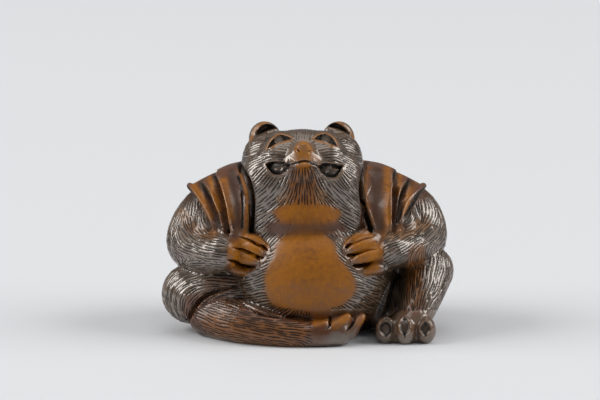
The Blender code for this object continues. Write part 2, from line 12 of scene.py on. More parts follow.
import bmesh
import bpy
import numpy as np
from mathutils import Euler, Matrix, Vector
from mathutils.bvhtree import BVHTree
from mathutils.kdtree import KDTree
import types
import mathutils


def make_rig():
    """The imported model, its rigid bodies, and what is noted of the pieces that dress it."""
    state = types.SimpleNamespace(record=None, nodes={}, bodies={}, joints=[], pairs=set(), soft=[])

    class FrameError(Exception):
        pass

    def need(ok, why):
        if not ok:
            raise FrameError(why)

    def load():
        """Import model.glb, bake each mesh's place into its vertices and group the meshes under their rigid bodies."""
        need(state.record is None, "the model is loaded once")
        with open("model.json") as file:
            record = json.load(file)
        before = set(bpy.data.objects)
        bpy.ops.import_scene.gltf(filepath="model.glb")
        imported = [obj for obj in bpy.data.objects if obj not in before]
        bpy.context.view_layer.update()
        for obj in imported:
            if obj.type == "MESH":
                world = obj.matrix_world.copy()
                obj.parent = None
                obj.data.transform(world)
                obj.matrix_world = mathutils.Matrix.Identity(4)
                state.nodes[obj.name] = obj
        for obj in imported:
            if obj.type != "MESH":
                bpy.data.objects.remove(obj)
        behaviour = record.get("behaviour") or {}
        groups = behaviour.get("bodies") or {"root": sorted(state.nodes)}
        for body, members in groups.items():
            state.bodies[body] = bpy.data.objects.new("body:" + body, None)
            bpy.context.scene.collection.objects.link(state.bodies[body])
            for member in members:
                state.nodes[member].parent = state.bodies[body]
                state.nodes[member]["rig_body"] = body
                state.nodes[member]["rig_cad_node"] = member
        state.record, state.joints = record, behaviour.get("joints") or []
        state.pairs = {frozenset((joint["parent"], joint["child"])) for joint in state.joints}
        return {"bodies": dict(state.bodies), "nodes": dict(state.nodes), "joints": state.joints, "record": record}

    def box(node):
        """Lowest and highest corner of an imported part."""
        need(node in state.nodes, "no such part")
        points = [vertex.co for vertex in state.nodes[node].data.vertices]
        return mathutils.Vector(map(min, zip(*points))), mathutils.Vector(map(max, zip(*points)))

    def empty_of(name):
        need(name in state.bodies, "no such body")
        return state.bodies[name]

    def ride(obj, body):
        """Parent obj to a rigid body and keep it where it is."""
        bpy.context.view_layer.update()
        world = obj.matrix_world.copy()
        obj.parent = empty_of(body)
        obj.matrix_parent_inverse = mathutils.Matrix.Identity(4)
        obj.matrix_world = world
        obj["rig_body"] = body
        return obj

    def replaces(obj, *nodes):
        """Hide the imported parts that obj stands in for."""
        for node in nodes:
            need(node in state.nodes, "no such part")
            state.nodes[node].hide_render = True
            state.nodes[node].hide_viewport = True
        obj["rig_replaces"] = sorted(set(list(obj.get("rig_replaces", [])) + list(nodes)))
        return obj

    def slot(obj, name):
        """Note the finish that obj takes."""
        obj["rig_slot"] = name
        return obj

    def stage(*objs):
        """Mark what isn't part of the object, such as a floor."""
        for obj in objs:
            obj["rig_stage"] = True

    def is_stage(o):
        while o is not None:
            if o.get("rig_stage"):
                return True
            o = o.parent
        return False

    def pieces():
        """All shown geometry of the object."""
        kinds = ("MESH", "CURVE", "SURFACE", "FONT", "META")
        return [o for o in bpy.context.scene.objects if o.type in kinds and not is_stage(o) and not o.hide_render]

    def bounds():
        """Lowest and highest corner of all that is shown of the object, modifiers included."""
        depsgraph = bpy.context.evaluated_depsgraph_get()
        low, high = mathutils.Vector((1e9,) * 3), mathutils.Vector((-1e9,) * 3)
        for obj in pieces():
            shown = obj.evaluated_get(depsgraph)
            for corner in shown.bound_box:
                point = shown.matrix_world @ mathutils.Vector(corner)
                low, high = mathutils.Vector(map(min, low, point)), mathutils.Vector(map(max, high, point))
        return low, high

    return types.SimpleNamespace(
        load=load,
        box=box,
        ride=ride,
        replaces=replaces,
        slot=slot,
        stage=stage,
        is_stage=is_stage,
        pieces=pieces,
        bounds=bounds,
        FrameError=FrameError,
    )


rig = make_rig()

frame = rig.load()
cad_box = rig.bounds()
node_low, node_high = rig.box("tanuki_netsuke")
height = node_high[2] - node_low[2]
print("bodies:", sorted(frame["bodies"]), "height in mm:", round(height * 1000, 2))

# %% [markdown]
# ## Units and the front drawing
# The carving is measured in units of one millimetre. Most of its marks are laid off on a front
# drawing, as a carver pencils them on the block: u runs across and v up, square to a line of
# sight that looks down by twelve degrees. A mark is dropped onto the wood along that line.

# %% Carving units and the line of sight
UNITS_TALL = 29.85
U = height / UNITS_TALL
SIGHT_TILT = math.radians(12.0)
SIGHT = Vector((0.0, math.cos(SIGHT_TILT), -math.sin(SIGHT_TILT)))
DRAWING_UP = Vector((0.0, math.sin(SIGHT_TILT), math.cos(SIGHT_TILT)))
HEAD_MIDDLE = -0.6
print("one unit in mm:", round(U * 1000, 4))


# %% A smooth row of numbers
def smooth_row(points, steps):
    """Points along one Catmull-Rom curve through the given rows of numbers."""
    rows = np.array(points, float)
    ends = np.vstack([2 * rows[0] - rows[1], rows, 2 * rows[-1] - rows[-2]])
    made = []
    for k in range(len(rows) - 1):
        before, start, end, after = ends[k : k + 4]
        for t in np.arange(steps) / steps:
            bend = (2 * before - 5 * start + 4 * end - after) * t**2
            twist = (3 * start - before - 3 * end + after) * t**3
            made.append(0.5 * (2 * start + (end - before) * t + bend + twist))
    return np.array(made + [rows[-1]])


def ramp(values, low, high):
    """A soft rise from 0 at the low value to 1 at the high value."""
    share = np.clip((values - low) / (high - low), 0.0, 1.0)
    return share * share * (3 - 2 * share)


# %% [markdown]
# ## Masses
# Every mass is a ball or a limb, which is a row of balls along a curve. Overlapping balls are
# fused by a voxel remesh, which makes one closed skin, and a few rounds of smoothing soften
# the joins. Sculpting by hand would look as good, but these masses can be read and changed.


# %% Balls and limbs
def add_mesh(form, mesh):
    form.from_mesh(mesh)
    bpy.data.meshes.remove(mesh)


def ball(form, centre, radii, turn=(0.0, 0.0, 0.0), fineness=4):
    """An ellipsoid in carving units, turned by degrees about X, Y and Z."""
    one = bmesh.new()
    bmesh.ops.create_icosphere(one, subdivisions=fineness, radius=1.0)
    mesh = bpy.data.meshes.new("ball")
    one.to_mesh(mesh)
    one.free()
    angles = Euler([math.radians(a) for a in turn])
    mesh.transform(Matrix.LocRotScale(Vector(centre) * U, angles, Vector(radii) * U))
    add_mesh(form, mesh)


def limb(form, stations, steps=8):
    """A rounded limb through stations of (x, y, z, radius)."""
    for x, y, z, radius in smooth_row(stations, steps):
        ball(form, (x, y, z), (radius, radius, radius), fineness=3)


# %% One skin round the masses
def as_mesh(name, form):
    mesh = bpy.data.meshes.new(name)
    form.to_mesh(mesh)
    form.free()
    return mesh


def with_modifiers(mesh, *steps):
    """A copy of the mesh after modifiers, each given as (type, settings)."""
    holder = bpy.data.objects.new("holder", mesh)
    bpy.context.scene.collection.objects.link(holder)
    for kind, settings in steps:
        modifier = holder.modifiers.new(kind.lower(), kind)
        for name, value in settings.items():
            setattr(modifier, name, value)
    graph = bpy.context.evaluated_depsgraph_get()
    made = bpy.data.meshes.new_from_object(holder.evaluated_get(graph))
    bpy.data.objects.remove(holder)
    return made


def fused(form, voxel, rounds):
    """One closed skin, with its joins softened by rounds of smoothing."""
    remesh = ("REMESH", {"mode": "VOXEL", "voxel_size": voxel})
    soften = ("SMOOTH", {"factor": 0.5, "iterations": rounds})
    return with_modifiers(as_mesh("masses", form), remesh, soften)


COARSE_VOXEL = 0.30 * U
FINE_VOXEL = 0.115 * U

# %% [markdown]
# ## Dropping marks onto the wood
# A ray along the line of sight finds the point of the skin under a mark. The same is done
# straight from behind for the folds in the back of the jacket.


# %% Points on the front and on the back
def tree_of(mesh):
    form = bmesh.new()
    form.from_mesh(mesh)
    tree = BVHTree.FromBMesh(form)
    form.free()
    return tree


def on_front(tree, u, v):
    """The surface point and its normal at (u, v) of the front drawing, in units."""
    start = Vector((u, 0.0, 0.0)) + DRAWING_UP * v - SIGHT * 60.0
    hit, normal, _, _ = tree.ray_cast(start * U, SIGHT)
    if hit is None:
        raise ValueError(f"the front drawing misses the body at {u:.2f}, {v:.2f}")
    return hit / U, normal


def on_back(tree, x, z):
    """The surface point and its normal at (x, z), seen straight from behind."""
    hit, normal, _, _ = tree.ray_cast(Vector((x, 60.0, z)) * U, Vector((0.0, -1.0, 0.0)))
    if hit is None:
        raise ValueError(f"the back drawing misses the body at {x:.2f}, {z:.2f}")
    return hit / U, normal


def drawn_limb(form, tree, marks, steps=6):
    """A limb lying on the body, through marks of (u, v, lift, radius)."""
    stations = []
    for u, v, lift, radius in smooth_row(marks, steps):
        point, normal = on_front(tree, u, v)
        stations.append((*(point + normal * lift), radius))
    limb(form, stations, steps=3)


# %% [markdown]
# ## Torso and head
# The figure is nearly a cone of soft masses: rump, belly, chest, and a head that is as wide
# as the neck. Full cheeks and a low brow give the head its flat, broad front.

# %% Model the torso and head
form = bmesh.new()
ball(form, (0.0, 3.0, 11.0), (13.0, 10.5, 12.0))
ball(form, (0.4, 2.5, 4.5), (14.5, 10.5, 6.5))
ball(form, (0.9, -2.7, 8.5), (11.8, 10.5, 9.8))
limb(form, [(0.0, -1.7, 12.0, 8.9), (-0.4, -1.4, 17.0, 8.8), (-0.5, -0.8, 20.5, 8.6)])
for side in (-1, 1):
    limb(form, [(side * 4.6, -3.4, 13.0, 5.4), (side * 4.6, -3.0, 20.0, 5.3)])
ball(form, (0.0, 3.5, 18.0), (12.5, 5.5, 5.0))
ball(form, (HEAD_MIDDLE, -0.8, 21.6), (8.9, 8.6, 7.4))
ball(form, (HEAD_MIDDLE, -2.8, 25.5), (6.4, 5.0, 4.0))
limb(form, [(HEAD_MIDDLE - 3.4, -2.4, 26.9, 2.4), (HEAD_MIDDLE + 3.4, -2.4, 26.9, 2.4)])
for side in (-1, 1):
    ball(form, (HEAD_MIDDLE + side * 4.8, -4.2, 22.0), (4.2, 4.5, 4.8))
    ball(form, (HEAD_MIDDLE + side * 5.4, -0.8, 24.2), (3.4, 4.6, 4.4))
    ball(form, (HEAD_MIDDLE + side * 3.3, -4.3, 25.3), (3.3, 3.5, 3.5))
torso = fused(form, COARSE_VOXEL, 12)
torso_tree = tree_of(torso)
print("torso faces:", len(torso.polygons))

# %% [markdown]
# ## Muzzle and ears
# The muzzle is short and blunt, with the nose on top because the head is tipped back. The ears
# are flattened balls that are hollowed later.

# %% Model the muzzle and ears
form = bmesh.new()
add_mesh(form, torso)
middle = HEAD_MIDDLE
limb(form, [(middle, -4.6, 25.3, 3.4), (middle, -6.9, 25.9, 2.5), (middle + 0.1, -8.3, 26.4, 1.8)])
ball(form, (middle + 0.1, -8.9, 27.8), (1.1, 1.2, 0.95), turn=(-20, 0, 0))
for side in (-1, 1):
    ball(form, (middle + 0.1 + side * 1.4, -8.2, 26.0), (1.3, 1.3, 1.2))
ball(form, (middle + 0.1, -7.8, 24.2), (2.8, 1.7, 1.8))
for side, centre in ((-1, -5.9), (1, 4.5)):
    ball(form, (centre, 0.6, 27.2), (2.5, 1.2, 2.8), turn=(-14, side * 20, side * 12))

# %% [markdown]
# ## Arms and legs
# Both arms bend to the belly. One leg is folded flat, so its shin lies along the table in
# front. The other knee is drawn up. Each is one or two limbs with changing radius.

# %% Model the arms
LEFT_ARM = (
    (-11.6, 2.5, 17.6, 4.2), (-14.6, 1.4, 15.6, 4.2), (-16.1, -0.6, 12.6, 4.1),
    (-14.2, -5.2, 12.1, 3.3), (-12.0, -8.4, 12.7, 2.7),
)
RIGHT_ARM = (
    (11.8, 2.5, 17.6, 4.2), (15.0, 1.2, 16.0, 4.3), (16.2, -0.8, 13.2, 4.0),
    (14.6, -5.4, 12.8, 3.0), (12.2, -8.6, 13.0, 2.5),
)
limb(form, LEFT_ARM)
limb(form, RIGHT_ARM)
for side in (-1, 1):
    limb(form, [(side * 12.6, -2.4, 15.9, 3.6), (side * 13.6, -3.6, 13.8, 3.5)])

# %% Model the folded leg
limb(form, [(-8.0, 2.0, 5.8, 5.0), (-12.4, 0.5, 6.2, 4.6), (-16.5, -2.6, 5.4, 4.4)])
limb(form, [(-8.5, -4.0, 6.4, 3.2), (-12.6, -4.6, 6.3, 3.8), (-15.9, -4.0, 5.3, 4.0)])
FOLDED_SHIN = (
    (-13.6, -5.4, 2.9, 3.4), (-9.6, -9.0, 2.6, 3.2), (-5.6, -11.2, 2.2, 2.6),
    (-2.0, -12.2, 1.7, 2.1), (1.5, -12.4, 1.7, 1.9), (4.6, -12.0, 1.9, 2.0),
)
FOLDED_TOES = (
    ((1.2, -13.0, 2.4, 1.2), (3.0, -12.9, 3.4, 0.55)),
    ((3.9, -12.6, 2.3, 1.6), (5.8, -12.3, 4.1, 0.6)),
    ((5.9, -11.8, 2.1, 1.5), (7.9, -11.2, 3.9, 0.55)),
)
limb(form, FOLDED_SHIN)
for toe in FOLDED_TOES:
    limb(form, toe)

# %% Model the raised leg
limb(form, [(9.5, 4.5, 5.5, 5.5), (14.2, 1.4, 7.6, 4.7), (17.4, -2.6, 8.8, 3.8)])
ball(form, (11.5, -3.5, 4.5), (3.6, 4.5, 4.5))
RAISED_SHIN = (
    (17.4, -2.8, 8.8, 3.8), (16.5, -6.0, 6.0, 3.1), (15.4, -8.4, 3.3, 2.5), (14.2, -9.4, 2.2, 2.4),
)
limb(form, RAISED_SHIN)
ball(form, (14.0, -8.2, 1.0), (4.1, 3.2, 2.2))
for x, y in ((11.3, -10.4), (14.1, -11.0), (17.0, -10.4)):
    ball(form, (x, y, 1.8), (1.5, 1.7, 2.0))

# %% [markdown]
# ## Paws
# The paws are drawn on the belly: a palm and four fingers each, as marks of (u, v, lift,
# radius). They lie on the torso, so they follow it wherever it goes.

# %% Draw the paws
PAWS = (
    ((-12.4, 11.0, 0.0, 2.4), (-10.6, 11.2, 0.2, 2.5), (-9.2, 11.0, 0.0, 2.1)),
    (
        (-10.4, 12.9, 0.4, 1.1), (-9.2, 13.0, 0.7, 1.1), (-8.0, 12.8, 0.9, 0.95),
        (-6.9, 12.35, 0.8, 0.8), (-6.1, 11.75, 0.3, 0.5),
    ),
    (
        (-10.8, 12.0, 0.9, 1.3), (-9.2, 11.9, 1.0, 1.3), (-7.9, 11.4, 1.0, 1.1),
        (-6.9, 10.9, 0.8, 0.85), (-6.3, 10.5, 0.3, 0.5),
    ),
    (
        (-11.2, 10.8, 0.9, 1.4), (-9.8, 10.4, 1.1, 1.3), (-8.5, 9.9, 1.0, 1.05),
        (-7.6, 9.5, 0.7, 0.8), (-7.1, 9.25, 0.2, 0.5),
    ),
    (
        (-11.6, 9.4, 0.6, 1.3), (-10.7, 8.8, 0.8, 1.15), (-9.6, 8.3, 0.7, 0.85),
        (-8.9, 7.9, 0.2, 0.5),
    ),
    ((12.6, 11.0, 0.0, 2.4), (10.6, 11.2, 0.2, 2.5), (9.2, 11.0, 0.0, 2.1)),
    (
        (10.4, 12.9, 0.4, 1.1), (9.0, 13.0, 0.7, 1.05), (7.8, 12.8, 0.9, 0.9),
        (6.8, 12.45, 0.7, 0.7), (6.0, 12.0, 0.2, 0.45),
    ),
    (
        (10.8, 12.0, 0.9, 1.3), (9.0, 11.9, 1.0, 1.25), (7.7, 11.5, 1.0, 1.0),
        (6.7, 11.1, 0.7, 0.75), (6.0, 10.8, 0.2, 0.45),
    ),
    (
        (11.0, 10.6, 0.9, 1.4), (9.6, 10.4, 1.1, 1.3), (8.4, 10.05, 1.0, 1.0),
        (7.3, 9.7, 0.7, 0.75), (6.7, 9.45, 0.2, 0.45),
    ),
    ((11.4, 9.2, 0.6, 1.3), (10.3, 8.6, 0.8, 1.15), (9.2, 8.3, 0.7, 0.9), (8.4, 8.0, 0.2, 0.5)),
)
paws = bmesh.new()
for marks in PAWS:
    drawn_limb(paws, torso_tree, marks)
add_mesh(form, as_mesh("paws", paws))

# %% [markdown]
# ## Jacket
# The jacket is cloth in the carving, so it is made as cloth: a grid whose rows are laid
# through three edges each, then given a thickness. The collar is a second, thicker band. Half
# of each is made and the other half is the same rows with x turned round. The right front
# lies closer to the cheek and is drawn aside a little by the paw below it.

# %% Rows of the jacket and the collar, front hem to back
JACKET = (
    ((-8.3, -8.7, 14.2), (-10.4, -8.6, 14.2), (-12.4, -7.4, 14.4)),
    ((-8.2, -7.4, 18.6), (-11.3, -7.2, 18.2), (-14.0, -5.6, 17.4)),
    ((-8.7, -4.8, 21.6), (-12.4, -4.3, 20.7), (-15.6, -3.0, 19.6)),
    ((-9.8, -1.0, 23.3), (-13.4, -0.2, 22.2), (-16.8, 0.8, 20.4)),
    ((-9.0, 3.5, 23.4), (-13.2, 4.4, 21.6), (-16.6, 4.2, 19.6)),
    ((-5.0, 7.6, 22.8), (-11.5, 8.2, 20.5), (-16.0, 6.6, 17.2)),
    ((0.0, 9.2, 21.6), (-9.6, 10.2, 18.0), (-15.4, 8.2, 14.4)),
    ((0.0, 11.6, 17.8), (-9.2, 11.6, 14.5), (-15.0, 9.0, 11.4)),
    ((0.0, 13.2, 13.0), (-9.0, 12.6, 10.5), (-14.7, 9.4, 8.4)),
    ((0.0, 13.8, 8.0), (-9.0, 12.9, 6.5), (-14.4, 9.5, 5.4)),
    ((0.0, 13.4, 2.6), (-9.0, 12.4, 2.4), (-14.1, 9.3, 2.4)),
)
COLLAR = (
    ((-8.3, -8.9, 14.2), (-9.5, -9.0, 14.2), (-10.8, -8.7, 14.2)),
    ((-8.2, -7.7, 18.6), (-9.8, -7.7, 18.5), (-11.4, -7.1, 18.3)),
    ((-8.7, -5.0, 21.7), (-10.4, -5.0, 21.5), (-12.2, -4.4, 21.0)),
    ((-9.8, -1.0, 23.5), (-11.4, -0.8, 23.2), (-13.0, -0.4, 22.6)),
    ((-9.0, 3.5, 23.6), (-10.6, 4.0, 23.2), (-12.0, 4.6, 22.4)),
    ((-5.0, 7.5, 23.0), (-6.0, 8.7, 22.4), (-6.8, 9.6, 21.4)),
    ((0.0, 8.9, 22.6), (0.0, 10.2, 21.8), (0.0, 11.1, 20.6)),
)
JACKET_THICKNESS = 0.0014
COLLAR_THICKNESS = 0.0020


# %% Lay a grid through the rows
def cloth_half(rows, side, thickness, across=17):
    along = smooth_row([np.ravel(row) for row in rows], 10).reshape(-1, 3, 3)
    laid_rows = [smooth_row(row, (across - 1) // 2) for row in along]
    sheet = bmesh.new()
    bmesh.ops.create_grid(sheet, x_segments=len(along) - 1, y_segments=across - 1, size=1.0)
    places = np.concatenate(laid_rows) * (-side, 1, 1)
    if side > 0:
        x, y, z = places.T.copy()
        places[:, 0] += 1.2 * ramp(z, 17.5, 13.5) * ramp(x, 12.0, 8.5) * (y < -2.0)
        places[:, 0] -= 1.2 * ramp(z, 19.0, 22.0) * ramp(x, 13.0, 9.5) * ramp(y, 4.0, 0.0)
    corners = sorted(sheet.verts, key=lambda p: (round(p.co.x, 5), p.co.y))
    for vertex, place in zip(corners, places):
        vertex.co = Vector(place) * U
    bmesh.ops.recalc_face_normals(sheet, faces=sheet.faces)
    heart = Vector((0.0, 0.0, 12.0)) * U
    if sum(f.normal.dot(f.calc_center_median() - heart) for f in sheet.faces) < 0:
        bmesh.ops.reverse_faces(sheet, faces=sheet.faces)
    bmesh.ops.solidify(sheet, geom=sheet.faces, thickness=thickness)
    return sheet


jacket = bmesh.new()
for side in (-1, 1):
    add_mesh(jacket, as_mesh("front", cloth_half(JACKET, side, JACKET_THICKNESS)))
    add_mesh(jacket, as_mesh("collar", cloth_half(COLLAR, side, COLLAR_THICKNESS)))
    edge = [(-side * x, y, z, 0.42) for x, y, z in (row[2] for row in JACKET)]
    limb(jacket, edge, steps=14)
jacket_tree = BVHTree.FromBMesh(jacket)
add_mesh(form, as_mesh("jacket", jacket))

# %% [markdown]
# ## One block
# Shoulders and back fill the jacket. Then everything is fused into a single fine skin, because
# the netsuke is one piece of wood, and the skin is fine enough to take the hair lines.

# %% Fill the jacket and fuse the block
SHOULDER = ((6.0, 3.0, 19.6, 3.4), (11.0, 2.8, 18.8, 3.0), (14.6, 2.4, 17.6, 2.6))
FRONT_FILLER = ((9.4, -4.4, 18.6, 2.6), (10.6, -6.2, 15.6, 2.2), (10.4, -6.6, 13.4, 2.2))
BACK_FILLERS = (
    ((6.5, 5.4, 17.0, 4.0), (8.5, 7.4, 6.0, 4.6)),
    ((12.0, 6.2, 14.5, 3.6), (12.0, 6.6, 8.0, 3.8), (11.4, 6.6, 2.6, 3.6)),
)
SPINE = ((0.0, 7.6, 18.0, 3.4), (0.0, 9.6, 8.0, 4.0), (0.0, 9.4, 3.0, 3.8))
for side in (-1, 1):
    for filler in (SHOULDER, FRONT_FILLER, *BACK_FILLERS):
        limb(form, [(side * x, y, z, radius) for x, y, z, radius in filler])
limb(form, SPINE)
skin = fused(form, FINE_VOXEL, 8)
print("block vertices:", len(skin.vertices))


# %% The block as arrays
def coordinates(mesh):
    found = np.empty(len(mesh.vertices) * 3)
    mesh.vertices.foreach_get("co", found)
    return found.reshape(-1, 3) / U


def normals_of(mesh):
    found = np.empty(len(mesh.vertices) * 3)
    mesh.vertex_normals.foreach_get("vector", found)
    return found.reshape(-1, 3)


def drawn(points):
    """Where points fall on the front drawing: u and v."""
    return points[:, 0], points @ np.array(DRAWING_UP)


block_tree = tree_of(skin)
points = coordinates(skin)

# %% [markdown]
# ## Deep cuts
# A gouge cut is a path on the skin with a half width and a depth that swell and fade, like the
# stroke of a V tool. The wall number says how much of the half width its side takes: 1 is a V,
# and a small share is a flat-bottomed pocket. A negative depth raises a bead.


# %% Lay and make a cut
LIP_WIDTH = 0.24


def laid(place, marks, steps=30):
    """A cut's path on the skin: rows of point, normal, half width and depth."""
    path = []
    for across, up, half_width, depth in smooth_row(marks, steps):
        point, normal = place(block_tree, across, up)
        path.append((*point, *normal, half_width, depth))
    path = np.array(path)
    soft = np.array([path[max(0, k - 4) : k + 5, 3:6].mean(axis=0) for k in range(len(path))])
    path[:, 3:6] = soft / np.linalg.norm(soft, axis=1)[:, None]
    return path


def cut(points, path, wall, lean=0.0, lip=0.0):
    """Push the skin in along a path, deepest in the middle of the cut.

    A lean makes the side on its right hand steep, or the other side where it is negative, and
    a lip raises a bead beyond the steep side.
    """
    reach = path[:, 6].max() * (1 + abs(lean)) + 0.6
    low = path[:, :3].min(axis=0) - reach
    high = path[:, :3].max(axis=0) + reach
    near = np.flatnonzero(np.all((points > low) & (points < high), axis=1))
    apart = points[near][:, None, :] - path[None, :, :3]
    gap = np.linalg.norm(apart, axis=2)
    nearest = (gap / np.maximum(path[:, 6], 0.05)).argmin(axis=1)
    picked = np.arange(len(near))
    row = path[nearest]
    apart, gap = apart[picked, nearest], gap[picked, nearest]
    ahead = np.gradient(path[:, :3], axis=0)[nearest]
    stride = np.linalg.norm(ahead, axis=1)
    along = np.einsum("ij,ij->i", apart, ahead) / stride
    gap = np.sqrt(np.maximum(gap**2 - np.clip(along, -stride, stride) ** 2, 0))
    right = np.einsum("ij,ij->i", np.cross(row[:, 3:6], ahead), apart)
    half_width = np.maximum(row[:, 6], 0.05) * (1 - lean * np.sign(right))
    share = gap / half_width
    push = row[:, 7] * np.clip((1 - share) / wall, 0, 1)
    if lip:
        beyond = np.abs(gap - half_width - LIP_WIDTH) / LIP_WIDTH
        edge = np.cos(np.clip(beyond, 0, 1) * math.pi / 2) ** 2 * (right * lean > 0)
        push -= lip * edge * np.clip(row[:, 7] / path[:, 7].max(), 0, 1)
    points[near] -= row[:, 3:6] * push[:, None]


def look_again():
    """A ray tree of the wood as it now is, so that later marks fall on the cut surface."""
    skin.vertices.foreach_set("co", (points * U).ravel())
    skin.update()
    return tree_of(skin)


# %% Cut between the fingers
FINGER_CUTS = (
    (
        (-9.7, 13.0, 0.1, 0.1), (-8.4, 12.5, 0.24, 0.7), (-7.2, 11.95, 0.3, 1.0),
        (-6.1, 11.4, 0.3, 0.7), (-5.6, 11.0, 0.1, 0.1),
    ),
    (
        (-10.5, 11.5, 0.1, 0.1), (-9.3, 11.1, 0.25, 0.6), (-7.9, 10.5, 0.36, 1.1),
        (-6.7, 10.1, 0.35, 0.7), (-6.2, 9.9, 0.1, 0.1),
    ),
    (
        (-11.3, 9.7, 0.1, 0.1), (-10.4, 9.35, 0.3, 0.6), (-9.2, 9.0, 0.42, 1.1),
        (-8.0, 8.8, 0.4, 0.8), (-7.3, 8.6, 0.1, 0.1),
    ),
    (
        (9.5, 12.95, 0.1, 0.1), (8.2, 12.7, 0.24, 0.7), (6.9, 12.15, 0.3, 1.0),
        (5.9, 11.6, 0.3, 0.7), (5.5, 11.4, 0.1, 0.1),
    ),
    (
        (10.0, 11.2, 0.1, 0.1), (8.8, 11.1, 0.25, 0.6), (7.3, 10.6, 0.36, 1.1),
        (6.2, 10.35, 0.35, 0.7), (5.7, 10.2, 0.1, 0.1),
    ),
    (
        (10.3, 9.6, 0.1, 0.1), (9.3, 9.35, 0.3, 0.6), (8.1, 9.05, 0.42, 1.1), (7.1, 8.9, 0.4, 0.8),
        (6.6, 8.8, 0.1, 0.1),
    ),
)
for marks in FINGER_CUTS:
    cut(points, laid(on_front, marks), 0.8)

# %% Cut the folds of the jacket
JACKET_FOLDS = (
    (
        (-13.1, 21.7, 0.3, 0.4), (-12.4, 19.8, 0.7, 1.2), (-11.7, 17.0, 0.7, 1.3),
        (-11.1, 13.6, 0.6, 1.2),
    ),
    (
        (-15.0, 20.7, 0.2, 0.3), (-14.0, 18.9, 0.55, 1.1), (-12.9, 16.4, 0.6, 1.2),
        (-12.2, 14.2, 0.3, 0.5),
    ),
    (
        (-17.1, 20.2, 0.2, 0.2), (-15.8, 18.4, 0.7, 0.8), (-14.4, 16.1, 0.8, 1.0),
        (-13.6, 14.2, 0.5, 0.6),
    ),
    (
        (12.5, 22.2, 0.3, 0.4), (12.5, 19.8, 0.6, 1.2), (12.4, 17.0, 0.6, 1.3),
        (12.2, 13.8, 0.5, 1.2),
    ),
    (
        (14.6, 21.1, 0.2, 0.3), (13.7, 19.4, 0.5, 1.1), (13.2, 17.4, 0.6, 1.2),
        (12.9, 15.2, 0.3, 0.5),
    ),
    (
        (17.2, 20.2, 0.2, 0.2), (15.6, 18.8, 0.6, 0.8), (14.4, 16.6, 0.8, 1.0),
        (13.8, 14.6, 0.5, 0.6),
    ),
)
COLLAR_EDGES = (
    (
        (-9.4, 23.2, 0.2, 0.3), (-8.1, 20.4, 0.35, 1.0), (-7.75, 17.5, 0.35, 1.1),
        (-7.95, 13.8, 0.3, 1.0),
    ),
    (
        (8.1, 22.6, 0.2, 0.3), (7.8, 20.4, 0.35, 1.0), (8.1, 17.6, 0.4, 1.1),
        (8.7, 15.6, 0.45, 1.1), (9.2, 14.0, 0.45, 1.0),
    ),
)
HEM_FOLDS = (
    ((-1.2, 8.6, 0.3, 0.2), (-2.6, 5.6, 0.9, 0.5), (-3.0, 3.0, 0.7, 0.4)),
    ((2.0, 8.4, 0.3, 0.2), (3.4, 5.4, 0.9, 0.5), (3.6, 3.0, 0.7, 0.4)),
)
LONG_FOLDS = (
    ((5.2, 19.4, 0.3, 0.2), (7.2, 14.0, 1.1, 0.8), (8.4, 8.0, 1.0, 0.6), (8.8, 3.4, 0.3, 0.2)),
    ((9.6, 18.8, 0.3, 0.2), (11.6, 13.0, 1.0, 0.7), (12.0, 6.0, 0.4, 0.2)),
)
BACK_FOLDS = [[(side * x, *row) for x, *row in fold] for fold in LONG_FOLDS for side in (-1, 1)]
BACK_FOLDS += HEM_FOLDS
for folds, place, wall, lean, lip in (
    (JACKET_FOLDS, on_front, 1.0, 0.65, 0.28),
    (COLLAR_EDGES, on_front, 0.8, -0.3, 0.15),
    (BACK_FOLDS, on_back, 1.0, 0.5, 0.15),
):
    for marks in folds:
        side = 1 if marks[0][0] < 0 else -1
        cut(points, laid(place, marks), wall, lean=lean * side, lip=lip)

# %% Prick the stitches along the left front of the collar
block_tree = look_again()
STITCHES = smooth_row(((-9.75, 21.4), (-9.25, 19.4), (-9.1, 17.0), (-9.2, 14.4)), 6)
for across, up in STITCHES:
    stitch = ((across, up + 0.12, 0.19, 0.2), (across, up - 0.12, 0.19, 0.2))
    cut(points, laid(on_front, stitch, 6), 1.0)

# %% Cut round the thigh, under the belly and between the toes
LEG_CUTS = (
    ((-9.6, 5.9, 0.2, 0.3), (-13.2, 5.0, 0.4, 0.8), (-15.4, 3.6, 0.4, 0.9), (-17.0, 0.9, 0.3, 0.6)),
    ((-9.6, 3.9, 0.2, 0.3), (-6.0, 1.9, 0.4, 0.7), (0.5, 1.3, 0.3, 0.5)),
    (
        (13.3, 8.4, 0.3, 0.3), (12.9, 6.4, 0.8, 1.2), (12.5, 4.4, 1.0, 1.8), (11.9, 2.6, 0.8, 1.4),
        (11.2, 1.8, 0.3, 0.3),
    ),
    ((3.3, 1.4, 0.3, 0.4), (3.3, 0.6, 0.35, 0.7), (2.9, -0.2, 0.1, 0.1)),
    ((6.8, 1.6, 0.3, 0.4), (6.5, 0.6, 0.35, 0.8), (5.6, -0.9, 0.1, 0.1)),
)
for marks in LEG_CUTS:
    cut(points, laid(on_front, marks), 1.0)

# %% [markdown]
# ## Eyes, mouth and ears
# Each of these is an opening between two curves of the front drawing: an upper and a lower
# lid. Inside them the wood is sunk with steep walls, and a dome is left standing for the
# eyeball or the tongue. A raised bead along the curves makes the lids.


